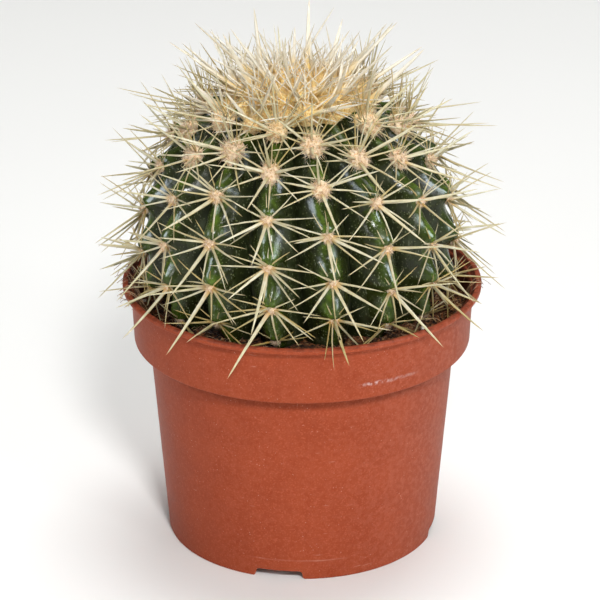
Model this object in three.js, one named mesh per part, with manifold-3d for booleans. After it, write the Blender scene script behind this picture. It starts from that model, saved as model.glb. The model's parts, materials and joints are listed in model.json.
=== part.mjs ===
// A potted round cactus: a ribbed globe with starry spines in a moulded plastic nursery pot.
// Millimetres, +Z up, origin at the centre of the pot's foot. Azimuth 0 faces -Y and turns towards +X.

import * as THREE from 'three';
import { mergeVertices } from 'three/addons/utils/BufferGeometryUtils.js';
import Module from 'manifold-3d';

const wasm = await Module();
wasm.setup();

// Driving dimensions of the pot
const POT_HEIGHT = 91;
const LIP_RADIUS = 60.7;
const LIP_WIDTH = 2.4;
const LIP_THICKNESS = 1.9;
const BAND_TOP_RADIUS = 57.9;
const BAND_BOTTOM = 70.2;
const BAND_RADIUS = 57;
const WALL_TOP_RADIUS = 51.9;
const FOOT_RADIUS = 46.1;
const FOOT_WIDTH = 2;
const WALL = 1.3;
const FLOOR_UNDERSIDE = 4;
const POT_SIDES = 48;
const NOTCH_WIDTH = 16;
const NOTCH_HEIGHT = 3;
const FIRST_NOTCH_AZIMUTH = -9.7;
const NOTCHES = 4;
const DRAIN_RADIUS = 4.5;
const DRAIN_CIRCLE_RADIUS = 31;
const DRAINS = 6;

// Driving dimensions of the soil
const SOIL_AT_WALL = 80;
const SOIL_AT_PLANT = 85;
const SOIL_LUMP = 0.7;
const SEAT_GAP = 0.3;

// Driving dimensions of the ribbed globe
const PLANT_X = -1.5;
const GLOBE_RADIUS = 51;
const GLOBE_HALF_HEIGHT = 50.3;
const GLOBE_CENTRE = 108.5;
const CROWN_DIP = 3;
const CROWN_DIP_RADIUS = 13;
const RIBS = 16;
const FRONT_RIB_AZIMUTH = -11.5;
const TWIST = 0.08;
const TWIST_ZERO_ARC = 60;
const FURROW_DEPTH = 8.5;
const SOIL_ARC = 106;
const BASE_ARC = 130;
const ROOT_LENGTH = 34;

// Driving dimensions of the areoles, which sit along the ridges
const FIRST_AREOLE_ARC = 27.1;
const LAST_AREOLE_ARC = 101;
const AREOLE_PITCH = 15.1;
const AREOLE_TIGHTENING = 0.08;
const AREOLE_TURN = 3 / 8;
const AREOLE_SLIP = 2.5;
const BUMP_HEIGHT = 1.5;
const BUMP_LENGTH = 4.2;
const BUMP_BELOW_AREOLE = 2;

// Driving dimensions of the spines and of the wool in the crown
const SPINE_REACH = 70;
const SPINE_SIDES = 3;
const ROOT_DEPTH = 2.2;
const SPINE_SPACING = 0.9;
const RADIAL = { length: 15, radius: 0.42, spread: 1.7 };
const RADIAL_BEARINGS = [42, 138, 222, 318];
const CENTRAL = { length: 23.5, radius: 0.6, spread: 0.7 };
const WOOL_RADIUS = 24;
const WOOL_HEIGHT = 4.2;
const CROWN_FLARE = 35;
const CROWN_SPINE_LENGTH = 20;
const CROWN_SPINES = 64;

// Edges shorter than this are merged after the joins and cuts
const FINEST_DETAIL = 0.04;

const UP = new THREE.Vector3(0, 0, 1);

function radians(degrees) {
  return degrees * Math.PI / 180;
}

// A repeatable draw from -1 to 1 for three counters
function draw(i, j, k) {
  const wave = Math.sin(i * 12.9898 + j * 78.233 + k * 37.719) * 43758.5453;
  return 2 * (wave - Math.floor(wave)) - 1;
}

// The horizontal direction at an azimuth
function heading(azimuth) {
  const turn = radians(azimuth);
  return new THREE.Vector3(Math.sin(turn), -Math.cos(turn), 0);
}

// A closed geometry as a solid that can be joined and cut
function solidOf(geometry) {
  const bare = geometry.clone();
  bare.deleteAttribute('normal');
  bare.deleteAttribute('uv');
  const merged = mergeVertices(bare, 1e-4);
  const vertProperties = new Float32Array(merged.attributes.position.array);
  const triVerts = new Uint32Array(merged.index.array);
  return new wasm.Manifold(new wasm.Mesh({ numProp: 3, vertProperties, triVerts }));
}

// Joins a list of solids two at a time
function joinAll(solids) {
  let list = solids;
  while (list.length > 1) {
    const joined = [];
    for (let i = 0; i < list.length; i += 2) {
      joined.push(i + 1 < list.length ? list[i].add(list[i + 1]) : list[i]);
    }
    list = joined;
  }
  return list[0];
}

// The largest piece of a solid, without the specks that a join can leave
function largestPiece(solid) {
  return solid.decompose().reduce((best, piece) => (piece.volume() > best.volume() ? piece : best));
}

function cutAll(solid, cutters) {
  return cutters.reduce((rest, cutter) => rest.subtract(cutter), solid);
}

function meshOf(name, solid, material) {
  const { vertProperties, triVerts } = largestPiece(solid.simplify(FINEST_DETAIL)).getMesh();
  const geometry = new THREE.BufferGeometry();
  geometry.setAttribute('position', new THREE.BufferAttribute(vertProperties, 3));
  geometry.setIndex(new THREE.BufferAttribute(triVerts, 1));
  geometry.computeVertexNormals();
  const mesh = new THREE.Mesh(geometry, material);
  mesh.name = name;
  return mesh;
}

// A profile of [radius, height] points turned about the vertical axis
function turned(profile, sides) {
  const points = profile.map(([radius, height]) => new THREE.Vector2(radius, height));
  return new THREE.LatheGeometry(points, sides).rotateX(Math.PI / 2);
}

// Inner radius of the pot's wall at a height below the band
function wallInnerRadius(height) {
  const rise = height / BAND_BOTTOM;
  return THREE.MathUtils.lerp(FOOT_RADIUS, WALL_TOP_RADIUS, rise) - WALL;
}

function potProfile() {
  const lipBottom = POT_HEIGHT - LIP_THICKNESS;
  const bandInner = BAND_RADIUS - WALL;
  const shoulderTop = BAND_BOTTOM + WALL;
  const floorTop = FLOOR_UNDERSIDE + WALL;
  const footInner = FOOT_RADIUS - 0.2 - FOOT_WIDTH;
  return [
    [0, FLOOR_UNDERSIDE],
    [footInner, FLOOR_UNDERSIDE],
    [footInner, 0],
    [FOOT_RADIUS - 0.2, 0],
    [FOOT_RADIUS + 0.05, 0.6],
    [WALL_TOP_RADIUS, BAND_BOTTOM],
    [BAND_RADIUS - 0.3, BAND_BOTTOM],
    [BAND_RADIUS, BAND_BOTTOM + 0.4],
    [BAND_TOP_RADIUS, lipBottom],
    [LIP_RADIUS - 0.5, lipBottom + 0.1],
    [LIP_RADIUS, lipBottom + 0.8],
    [LIP_RADIUS - 0.3, POT_HEIGHT - 0.3],
    [LIP_RADIUS - 1, POT_HEIGHT],
    [LIP_RADIUS - LIP_WIDTH, POT_HEIGHT],
    [LIP_RADIUS - LIP_WIDTH - 1, POT_HEIGHT - 0.7],
    [BAND_TOP_RADIUS - WALL, lipBottom - 0.6],
    [bandInner, shoulderTop],
    [wallInnerRadius(shoulderTop), shoulderTop],
    [wallInnerRadius(floorTop), floorTop],
    [0, floorTop],
  ];
}

// A notch through the foot ring, with rounded upper corners
function notchCutter(azimuth) {
  const half = NOTCH_WIDTH / 2;
  const corner = 1.2;
  const outline = new THREE.Shape();
  outline.moveTo(-half, -1);
  outline.lineTo(half, -1);
  outline.lineTo(half, NOTCH_HEIGHT - corner);
  outline.lineTo(half - corner, NOTCH_HEIGHT);
  outline.lineTo(corner - half, NOTCH_HEIGHT);
  outline.lineTo(-half, NOTCH_HEIGHT - corner);
  outline.closePath();
  const cutter = new THREE.ExtrudeGeometry(outline, { depth: 12, bevelEnabled: false });
  cutter.rotateX(Math.PI / 2);
  cutter.translate(0, 2 - FOOT_RADIUS + 6, 0);
  cutter.rotateZ(radians(azimuth));
  return solidOf(cutter);
}

function drainCutter(x, y) {
  const cutter = new THREE.CylinderGeometry(DRAIN_RADIUS, DRAIN_RADIUS, 3 * WALL, 12);
  cutter.rotateX(Math.PI / 2);
  cutter.translate(x, y, FLOOR_UNDERSIDE + WALL / 2);
  return solidOf(cutter);
}

function makePot() {
  const cutters = [drainCutter(0, 0)];
  for (let i = 0; i < NOTCHES; i += 1) {
    cutters.push(notchCutter(FIRST_NOTCH_AZIMUTH + 360 * i / NOTCHES));
  }
  for (let i = 0; i < DRAINS; i += 1) {
    const place = heading(FIRST_NOTCH_AZIMUTH + 360 * i / DRAINS).multiplyScalar(DRAIN_CIRCLE_RADIUS);
    cutters.push(drainCutter(place.x, place.y));
  }
  const pot = cutAll(solidOf(turned(potProfile(), POT_SIDES)), cutters);
  return meshOf('pot', pot, new THREE.MeshStandardMaterial({ color: 0xb0573a, roughness: 0.55, metalness: 0 }));
}

// Radius and height of the smooth globe at an arc length from the crown, with the root below the soil
function globeProfile(arc) {
  if (arc <= BASE_ARC) {
    const polar = arc / GLOBE_RADIUS;
    const dip = CROWN_DIP * Math.exp(-((arc / CROWN_DIP_RADIUS) ** 2));
    const radius = GLOBE_RADIUS * Math.sin(polar);
    return [radius, GLOBE_CENTRE + GLOBE_HALF_HEIGHT * Math.cos(polar) - dip];
  }
  const [baseRadius, baseHeight] = globeProfile(BASE_ARC);
  const along = Math.min(1, (arc - BASE_ARC) / ROOT_LENGTH);
  return [baseRadius * (1 - along) ** 0.9, baseHeight - ROOT_LENGTH * along];
}

// Arc lengths of the areoles on one rib: neighbouring ribs are three eighths of a pitch apart,
// give or take a small slip
function areoleArcs(rib) {
  const phase = AREOLE_TURN * rib;
  let arc = FIRST_AREOLE_ARC + AREOLE_PITCH * (phase - Math.floor(phase)) + AREOLE_SLIP * draw(rib, 166, 9);
  const arcs = [];
  while (arc < LAST_AREOLE_ARC) {
    arcs.push(arc);
    arc += AREOLE_PITCH - AREOLE_TIGHTENING * Math.max(0, arc - TWIST_ZERO_ARC);
  }
  return arcs.filter((place) => place > FIRST_AREOLE_ARC - 1);
}

function ribAzimuth(rib, arc) {
  return FRONT_RIB_AZIMUTH + 360 * rib / RIBS + TWIST * (arc - TWIST_ZERO_ARC);
}

// Height of the surface over the smooth globe: ridges at 0, furrows below, a chin under each areole
function relief(rib, across, arc) {
  const buried = 1 - THREE.MathUtils.smoothstep(arc, SOIL_ARC, BASE_ARC);
  const girth = Math.sin(Math.min(arc, BASE_ARC) / GLOBE_RADIUS) ** 0.8;
  let height = -FURROW_DEPTH * girth * across ** 2;
  for (const areole of areoleArcs(rib)) {
    const along = (arc - areole - BUMP_BELOW_AREOLE) / BUMP_LENGTH;
    height += BUMP_HEIGHT * Math.exp(-(along ** 2) - (2.6 * across) ** 2);
  }
  return height * buried;
}

// A point on the plant's skin, from the azimuth inside a rib's own sector and the arc from the crown
function skinPoint(rib, across, arc) {
  const step = 0.5;
  const [radius, height] = globeProfile(arc);
  const [radiusBefore, heightBefore] = globeProfile(Math.max(0, arc - step));
  const [radiusAfter, heightAfter] = globeProfile(arc + step);
  const slope = Math.hypot(radiusAfter - radiusBefore, heightAfter - heightBefore) || 1;
  const lift = relief(rib, across, arc);
  const outward = (heightBefore - heightAfter) / slope;
  const upward = (radiusAfter - radiusBefore) / slope;
  const skinRadius = Math.max(0, radius + lift * outward);
  const azimuth = ribAzimuth(rib, arc) + 180 * across / RIBS;
  return heading(azimuth).multiplyScalar(skinRadius).add(new THREE.Vector3(PLANT_X, 0, height + lift * upward));
}

// The ribbed globe and root as one closed geometry, whose columns follow the ridges and furrows
function skinGeometry() {
  const perRib = 6;
  const rowsAboveSoil = 20;
  const rowsBelowSoil = 4;
  const rows = rowsAboveSoil + rowsBelowSoil;
  const geometry = new THREE.SphereGeometry(1, RIBS * perRib, rows);
  const { position, uv } = geometry.attributes;
  for (let i = 0; i < position.count; i += 1) {
    const row = Math.round((1 - uv.getY(i)) * rows);
    const column = Math.round(uv.getX(i) * RIBS * perRib);
    const rib = Math.round(column / perRib);
    const across = 2 * (column / perRib - rib);
    const deep = Math.max(0, row - rowsAboveSoil) / rowsBelowSoil;
    const above = Math.min(row, rowsAboveSoil) / rowsAboveSoil;
    const arc = SOIL_ARC * above + (BASE_ARC + ROOT_LENGTH - SOIL_ARC) * deep;
    const isPole = row === 0 || row === rows;
    const place = isPole ? axisPoint(arc) : skinPoint(rib % RIBS, across, arc);
    position.setXYZ(i, place.x, place.y, place.z);
  }
  return geometry;
}

function axisPoint(arc) {
  return new THREE.Vector3(PLANT_X, 0, globeProfile(arc)[1]);
}

// The same skin moved outwards along its normals, to cut room in what lies against it
function roomForSkin(gap) {
  const grown = skinGeometry();
  grown.deleteAttribute('normal');
  grown.deleteAttribute('uv');
  const merged = mergeVertices(grown, 1e-4);
  merged.computeVertexNormals();
  const { position, normal } = merged.attributes;
  for (let i = 0; i < position.count; i += 1) {
    position.setXYZ(
      i,
      position.getX(i) + gap * normal.getX(i),
      position.getY(i) + gap * normal.getY(i),
      position.getZ(i) + gap * normal.getZ(i),
    );
  }
  return solidOf(merged);
}

function soilSurface(radius) {
  return SOIL_AT_PLANT + (SOIL_AT_WALL - SOIL_AT_PLANT) * THREE.MathUtils.smoothstep(radius, 45, 56);
}

// True where a spine would come too near the soil, the rim of the pot or the tuft in the crown
function isBlocked(point) {
  const fromPotAxis = Math.hypot(point.x, point.y);
  const fromPlantAxis = Math.hypot(point.x - PLANT_X, point.y);
  const [, woolEdge] = globeProfile(WOOL_RADIUS);
  const overWool = point.z - woolEdge;
  const tuft = WOOL_RADIUS + 2.5 + overWool * Math.tan(radians(CROWN_FLARE));
  const floor = fromPotAxis < 54 ? soilSurface(fromPotAxis) + 1.8 : POT_HEIGHT + 1.2;
  const overPot = fromPotAxis < LIP_RADIUS + 1.2 && point.z < floor;
  return overPot || (overWool > -3 && fromPlantAxis < tuft);
}

// A slim three-sided spine from a root point, which starts inside what it grows from
function spineSolid(root, direction, length, radius) {
  const spine = new THREE.ConeGeometry(radius, length + ROOT_DEPTH, SPINE_SIDES);
  spine.translate(0, (length + ROOT_DEPTH) / 2 - ROOT_DEPTH, 0);
  spine.applyQuaternion(new THREE.Quaternion().setFromUnitVectors(new THREE.Vector3(0, 1, 0), direction));
  spine.translate(root.x, root.y, root.z);
  return solidOf(spine);
}

// True where a spine would reach what it has to stay clear of, or cross one that is already placed
function spineIsBlocked(spine, placed) {
  const tests = 8;
  for (let i = 2; i <= tests; i += 1) {
    if (isBlocked(spine.at(i / tests, new THREE.Vector3()))) {
      return true;
    }
  }
  return placed.some((other) => spine.distanceSqToLine3(other) < SPINE_SPACING ** 2);
}

// Length that keeps a spine's tip inside the plant's reach
function lengthInReach(root, direction, length) {
  const flatRoot = new THREE.Vector2(root.x, root.y);
  const flatStep = new THREE.Vector2(direction.x, direction.y);
  const a = flatStep.lengthSq();
  const b = 2 * flatRoot.dot(flatStep);
  const c = flatRoot.lengthSq() - SPINE_REACH ** 2;
  const limit = (-b + Math.sqrt(b * b - 4 * a * c)) / (2 * a);
  return Math.min(length, limit);
}

// A spine at an areole: bearing 0 points to the crown, lift is the angle over the skin.
// It turns aside, and then up, until it is clear.
function areoleSpine(frame, bearing, lift, length, form, placed) {
  for (let bend = 0; bend <= 100; bend += 5) {
    for (const turn of [0, 6, -6, 12, -12, 35, -35, 70, -70]) {
      const around = radians(bearing + turn);
      const rise = radians(Math.min(90, lift + bend));
      const along = frame.up.clone().multiplyScalar(Math.cos(around)).addScaledVector(frame.side, Math.sin(around));
      const root = frame.root.clone().addScaledVector(along, form.spread);
      const direction = along.multiplyScalar(Math.cos(rise)).addScaledVector(frame.out, Math.sin(rise));
      direction.addScaledVector(UP, Math.max(0, lift + bend - 90) / 40).normalize();
      const fitted = lengthInReach(root, direction, length);
      const spine = new THREE.Line3(root, root.clone().addScaledVector(direction, fitted));
      if (!spineIsBlocked(spine, placed)) {
        placed.push(spine);
        return spineSolid(root, direction, fitted, form.radius);
      }
    }
  }
  return null;
}

// Root point of an areole with the directions out of the skin, towards the crown and to the side
function areoleFrame(rib, arc) {
  const root = skinPoint(rib, 0, arc);
  const up = skinPoint(rib, 0, arc - 6).sub(skinPoint(rib, 0, arc + 6)).normalize();
  const side = heading(ribAzimuth(rib, arc) + 90);
  const out = new THREE.Vector3().crossVectors(side, up).normalize();
  return { root, up, side, out };
}

// The spines of one areole: a star of radials over the skin and two longer centrals
function areoleSpines(rib, arc, index, placed) {
  const frame = areoleFrame(rib, arc);
  const spines = [];
  for (let i = 0; i < RADIAL_BEARINGS.length; i += 1) {
    const bearing = RADIAL_BEARINGS[i] + 9 * draw(rib, index, i);
    const lift = 26 + 7 * draw(rib, index, i + 20);
    const length = RADIAL.length + 1.8 * draw(rib, index, i + 40);
    spines.push(areoleSpine(frame, bearing, lift, length, RADIAL, placed));
  }
  for (let i = 0; i < 2; i += 1) {
    const bearing = 180 * i + 14 * draw(rib, index, i + 60);
    const lift = 52 - 6 * i + 7 * draw(rib, index, i + 70);
    const length = CENTRAL.length + 2.5 * i + 2 * draw(rib, index, i + 80);
    spines.push(areoleSpine(frame, bearing, lift, length, CENTRAL, placed));
  }
  return spines.filter((spine) => spine !== null);
}

function makeCactusBody() {
  const solids = [solidOf(skinGeometry())];
  const placed = [];
  for (let rib = 0; rib < RIBS; rib += 1) {
    areoleArcs(rib).forEach((arc, index) => solids.push(...areoleSpines(rib, arc, index, placed)));
  }
  const material = new THREE.MeshStandardMaterial({ color: 0x3f4a26, roughness: 0.5, metalness: 0 });
  return meshOf('cactus_body', joinAll(solids), material);
}

// Height of the wool's underside at a radius, which clears the young ridges
function woolUnderside(radius) {
  const arc = GLOBE_RADIUS * Math.asin(radius / GLOBE_RADIUS);
  return globeProfile(arc)[1] + SEAT_GAP + 0.1 + 0.5 * (radius / WOOL_RADIUS) ** 4;
}

// Upper surface of the wool at a radius and azimuth: a low dome of soft lumps
function woolTop(radius, azimuth) {
  const share = radius / WOOL_RADIUS;
  const lumps = 0.7 * Math.sin(radians(5 * azimuth) + radius / 3) * share;
  return woolUnderside(radius) + (WOOL_HEIGHT + lumps) * Math.max(0, 1 - share ** 2.5) ** 0.6;
}

// The pad of wool, as a sphere whose upper half follows the wool and lower half the skin
function woolPad() {
  const sides = 32;
  const rows = 12;
  const pad = new THREE.SphereGeometry(1, sides, rows);
  const { position, uv } = pad.attributes;
  for (let i = 0; i < position.count; i += 1) {
    const row = Math.round((1 - uv.getY(i)) * rows);
    const column = Math.round(uv.getX(i) * sides) % sides;
    const isPole = row === 0 || row === rows;
    const radius = isPole ? 0 : WOOL_RADIUS * Math.sin(Math.PI * row / rows);
    const azimuth = isPole ? 0 : 360 * column / sides;
    const height = row <= rows / 2 ? woolTop(radius, azimuth) : woolUnderside(radius);
    const place = heading(azimuth).multiplyScalar(radius);
    position.setXYZ(i, place.x + PLANT_X, place.y, height);
  }
  return solidOf(pad);
}

// The young spines, spread over the wool by the golden angle and leaning out towards its edge
function crownSpines() {
  const goldenAngle = 137.508;
  const spread = WOOL_RADIUS - 3.5;
  const spines = [];
  for (let i = 0; i < CROWN_SPINES; i += 1) {
    const share = Math.sqrt((i + 0.5) / CROWN_SPINES);
    const azimuth = goldenAngle * i + 5 * draw(i, 1, 7);
    const radius = spread * share;
    const lean = radians((CROWN_FLARE - 6) * share + 2.5 * draw(i, 2, 7));
    const root = heading(azimuth).multiplyScalar(radius);
    root.add(new THREE.Vector3(PLANT_X, 0, woolTop(radius, azimuth)));
    const sway = azimuth + 6 * draw(i, 3, 7);
    const direction = heading(sway).multiplyScalar(Math.sin(lean)).addScaledVector(UP, Math.cos(lean));
    const length = CROWN_SPINE_LENGTH + 2.5 * draw(i, 4, 7);
    spines.push(spineSolid(root, direction, length, CENTRAL.radius));
  }
  return spines;
}

function makeCrownWool() {
  const material = new THREE.MeshStandardMaterial({ color: 0xcdb07d, roughness: 0.9, metalness: 0 });
  return meshOf('crown_wool', joinAll([woolPad(), ...crownSpines()]), material);
}

function soilProfile() {
  const shoulder = BAND_BOTTOM + WALL + SEAT_GAP;
  const bottom = FLOOR_UNDERSIDE + WALL + SEAT_GAP;
  const bandInner = BAND_RADIUS - WALL - SEAT_GAP;
  const profile = [
    [0, bottom],
    [wallInnerRadius(bottom) - SEAT_GAP, bottom],
    [wallInnerRadius(shoulder) - SEAT_GAP - 0.1, shoulder],
    [bandInner, shoulder],
    [bandInner, SOIL_AT_WALL - 1.5],
  ];
  for (const radius of [54.6, 52, 49, 46, 43, 38]) {
    profile.push([radius, soilSurface(radius)]);
  }
  profile.push([0, SOIL_AT_PLANT]);
  return profile;
}

// Soft lumps on the surface of the soil
function lumpSoil(geometry) {
  const { position } = geometry.attributes;
  for (let i = 0; i < position.count; i += 1) {
    const x = position.getX(i);
    const y = position.getY(i);
    const radius = Math.hypot(x, y);
    const isSurface = position.getZ(i) > SOIL_AT_WALL - 1 && radius > 40;
    const lump = SOIL_LUMP * (Math.sin(x * 0.61 + 1.3) + Math.sin(y * 0.53 + x * 0.17));
    const fade = 1 - THREE.MathUtils.smoothstep(radius, 52, 55);
    position.setZ(i, position.getZ(i) + (isSurface ? lump * fade : 0));
  }
  return geometry;
}

function makeSoil(room) {
  const soil = solidOf(lumpSoil(turned(soilProfile(), POT_SIDES))).subtract(room);
  return meshOf('soil', soil, new THREE.MeshStandardMaterial({ color: 0x3a2a1e, roughness: 0.95, metalness: 0 }));
}

function makePlant() {
  const room = roomForSkin(SEAT_GAP + 0.2);
  const plant = new THREE.Group();
  plant.add(makePot(), makeSoil(room), makeCactusBody(), makeCrownWool());
  return plant;
}

export default makePlant();
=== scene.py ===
# %% [markdown]
# # A round cactus in a nursery pot
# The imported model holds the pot, the soil, the ribbed globe and its crown as plain exact solids. This lesson
# loads them as a fixed frame and dresses each with finer pieces of the same size. Every cell works in
# millimetres, because a spine or a bead of plastic is easier to think of that way, and a finished piece is
# scaled to metres as its last step.

import json
import math

import bmesh
import bpy
import numpy as np
from mathutils import Matrix, Vector, noise

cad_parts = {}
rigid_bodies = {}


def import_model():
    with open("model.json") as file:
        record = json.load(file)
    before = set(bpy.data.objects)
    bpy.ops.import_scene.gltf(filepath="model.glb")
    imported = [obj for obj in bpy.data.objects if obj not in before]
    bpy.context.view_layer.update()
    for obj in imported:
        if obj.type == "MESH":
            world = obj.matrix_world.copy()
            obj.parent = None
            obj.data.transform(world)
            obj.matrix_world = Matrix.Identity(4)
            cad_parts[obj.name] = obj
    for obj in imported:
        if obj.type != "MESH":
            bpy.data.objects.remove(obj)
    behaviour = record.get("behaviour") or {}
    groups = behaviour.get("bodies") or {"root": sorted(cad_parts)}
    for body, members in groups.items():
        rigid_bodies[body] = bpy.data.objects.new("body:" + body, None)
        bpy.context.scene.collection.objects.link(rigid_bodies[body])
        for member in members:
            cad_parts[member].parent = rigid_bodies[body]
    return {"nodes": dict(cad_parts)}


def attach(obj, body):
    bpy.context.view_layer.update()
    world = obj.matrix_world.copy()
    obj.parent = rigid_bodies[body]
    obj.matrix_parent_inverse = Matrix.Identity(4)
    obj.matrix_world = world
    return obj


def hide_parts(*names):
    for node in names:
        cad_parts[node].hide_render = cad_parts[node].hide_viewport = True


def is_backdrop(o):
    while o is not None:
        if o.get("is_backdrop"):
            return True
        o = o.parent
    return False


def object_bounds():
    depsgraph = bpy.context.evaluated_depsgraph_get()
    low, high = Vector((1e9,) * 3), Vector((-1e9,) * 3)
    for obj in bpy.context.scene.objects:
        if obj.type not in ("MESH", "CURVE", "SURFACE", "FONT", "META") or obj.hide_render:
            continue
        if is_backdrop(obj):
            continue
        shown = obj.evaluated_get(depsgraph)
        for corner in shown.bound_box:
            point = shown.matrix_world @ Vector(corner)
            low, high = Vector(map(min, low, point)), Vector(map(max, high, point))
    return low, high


for thing in list(bpy.data.objects):
    bpy.data.objects.remove(thing)
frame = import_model()
cad_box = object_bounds()
scene = bpy.context.scene
print("frame nodes:", ", ".join(sorted(frame["nodes"])))

# %% [markdown]
# ## The camera
# A long lens about a metre away, tilted down by some 23 degrees, is what the curves of the pot's rim and foot
# ask for: the flatter those ellipses, the lower the camera, and the more alike they are, the farther. Setting
# it first means that every piece can be judged in the picture as soon as it is made.

# %% Camera
MM = 0.001
CAMERA_BACK = 1008
CAMERA_HEIGHT = 516.6
CAMERA_TILT = 23.3
FOCAL_PIXELS = 3234
PICTURE_PIXELS = 600
POT_AXIS_COLUMN = 302

camera_data = bpy.data.cameras.new("studio_camera")
camera_data.lens = camera_data.sensor_width * FOCAL_PIXELS / PICTURE_PIXELS
camera_data.shift_x = (PICTURE_PIXELS / 2 - POT_AXIS_COLUMN) / PICTURE_PIXELS
camera = bpy.data.objects.new("studio_camera", camera_data)
camera.location = Vector((0, -CAMERA_BACK, CAMERA_HEIGHT)) * MM
camera.rotation_euler = (math.radians(90 - CAMERA_TILT), 0, 0)
scene.collection.objects.link(camera)
scene.camera = camera
print(f"camera: {camera_data.lens:.0f} mm lens")

# %% [markdown]
# ## Shader maths as plain expressions
# A finish such as moulded plastic is a sum of small masks: a scuff here, dust there, a cloud of colour. In
# the shader editor each plus or times is a node. Wrapping a socket in a small class with its own operators
# lets a mask be written as a formula, and the class adds the Math nodes.

# %% Wires
class Wire:
    """A socket of a finish's node tree that can be used in arithmetic."""

    def __init__(self, finish, socket):
        self.finish = finish
        self.socket = socket

    def __add__(self, other):
        return self.finish.maths("ADD", self, other)

    def __radd__(self, other):
        return self.finish.maths("ADD", other, self)

    def __sub__(self, other):
        return self.finish.maths("SUBTRACT", self, other)

    def __rsub__(self, other):
        return self.finish.maths("SUBTRACT", other, self)

    def __mul__(self, other):
        return self.finish.maths("MULTIPLY", self, other)

    def __rmul__(self, other):
        return self.finish.maths("MULTIPLY", other, self)

    def __abs__(self):
        return self.finish.maths("ABSOLUTE", self)

    def ramp(self, low, high):
        """0 at low, 1 at high and a smooth step between them, whichever of the two is larger."""
        sockets = {"Value": self, "From Min": low, "From Max": high}
        return self.finish.node("ShaderNodeMapRange", {"interpolation_type": "SMOOTHSTEP"}, sockets)


# %% [markdown]
# A finish is one material. A single method adds any node, from its settings and what its sockets take, and
# the others are short names for the nodes that come up again and again. Colours go through Mix nodes, one for
# each coat, because a Math node would turn them grey.

# %% Finishes
class Finish:
    """A material built node by node round one Principled shader."""

    def __init__(self, name):
        self.material = bpy.data.materials.new(name)
        self.material.use_nodes = True
        self.tree = self.material.node_tree
        self.shader = self.tree.nodes["Principled BSDF"]
        self.place = self.node("ShaderNodeTexCoord", {}, {}, "Object")

    def node(self, kind, settings, sockets, output=0):
        made = self.tree.nodes.new(kind)
        for name, value in settings.items():
            setattr(made, name, value)
        self.feed(made, sockets)
        return Wire(self, made.outputs[output])

    def feed(self, node, sockets):
        for name, value in sockets.items():
            if isinstance(value, Wire):
                self.tree.links.new(value.socket, node.inputs[name])
            else:
                node.inputs[name].default_value = value

    def maths(self, operation, *values):
        return self.node("ShaderNodeMath", {"operation": operation}, dict(enumerate(values)))

    def mix(self, share, first, second):
        return self.node("ShaderNodeMix", {"data_type": "RGBA"}, {0: share, 6: first, 7: second}, 2)

    def coats(self, colour, *layers):
        """A colour with others laid over it in turn, each given as a mask and a six-digit code."""
        for mask, code in layers:
            colour = self.mix(mask, colour, paint(code))
        return colour

    def spread(self, size, stretch):
        """Object coordinates in steps of a size in millimetres, stretched along each axis."""
        scale = tuple(1 / (MM * size * part) for part in stretch)
        return self.node("ShaderNodeMapping", {}, {"Vector": self.place, "Scale": scale})

    def noise(self, size, detail=2.0, stretch=(1, 1, 1), roughness=0.5):
        sockets = {"Vector": self.spread(size, stretch), "Scale": 1, "Detail": detail, "Roughness": roughness}
        return self.node("ShaderNodeTexNoise", {}, sockets)

    def dots(self, size, output="Distance"):
        sockets = {"Vector": self.spread(size, (1, 1, 1)), "Scale": 1}
        return self.node("ShaderNodeTexVoronoi", {}, sockets, output)

    def attribute(self, name):
        return self.node("ShaderNodeAttribute", {"attribute_name": name}, {}, "Fac")

    def bump(self, height):
        """A Bump node for a height in millimetres."""
        return self.node("ShaderNodeBump", {}, {"Distance": MM, "Strength": 1, "Height": height}, "Normal")

    def axes(self):
        """X, Y and Z of a point on the piece, in millimetres."""
        parts = [self.node("ShaderNodeSeparateXYZ", {}, {0: self.place}, axis) for axis in "XYZ"]
        return [part * (1 / MM) for part in parts]


def paint(code):
    """The linear colour of a six-digit sRGB code."""
    parts = [int(code[i:i + 2], 16) / 255 for i in (0, 2, 4)]
    return (*[part / 12.92 if part <= 0.04045 else ((part + 0.055) / 1.055) ** 2.4 for part in parts], 1)


print("terracotta in linear light:", [round(part, 3) for part in paint("903F25")])

# %% [markdown]
# ## From bmesh to a piece
# Each piece ends the same way: scaled to metres, faces turned outwards, smooth shaded, given its finish, and
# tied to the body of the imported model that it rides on. One function does it, so no piece can miss a step.

# %% Finished pieces
def finish_piece(name, bm, finish, replaced=(), sharp_over=60):
    """Makes an object in metres from a bmesh in millimetres. Edges over sharp_over degrees stay crisp."""
    bmesh.ops.transform(bm, matrix=Matrix.Scale(MM, 4), verts=bm.verts)
    bmesh.ops.recalc_face_normals(bm, faces=bm.faces)
    mesh = bpy.data.meshes.new(name)
    bm.to_mesh(mesh)
    bm.free()
    mesh.materials.append(finish.material)
    mesh.shade_smooth()
    mesh.set_sharp_from_angle(angle=math.radians(sharp_over))
    piece = bpy.data.objects.new(name, mesh)
    scene.collection.objects.link(piece)
    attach(piece, "root")
    if replaced:
        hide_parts(*replaced)
    triangles = sum(len(face.vertices) - 2 for face in mesh.polygons)
    print(f"{name}: {triangles} triangles")


def draw(i, j, k):
    """A repeatable draw from -1 to 1 for three counters."""
    wave = math.sin(i * 12.9898 + j * 78.233 + k * 37.719) * 43758.5453
    return 2 * (wave - math.floor(wave)) - 1


def smooth_step(value, low, high):
    share = np.clip((value - low) / (high - low), 0, 1)
    return share * share * (3 - 2 * share)


def heading(azimuth):
    """The horizontal direction at an azimuth in degrees: 0 faces the camera and 90 is to its right."""
    turn = np.radians(azimuth)
    return np.stack([np.sin(turn), -np.cos(turn), 0 * turn], -1)


print("one repeatable draw:", round(draw(1, 2, 3), 3))

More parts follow.
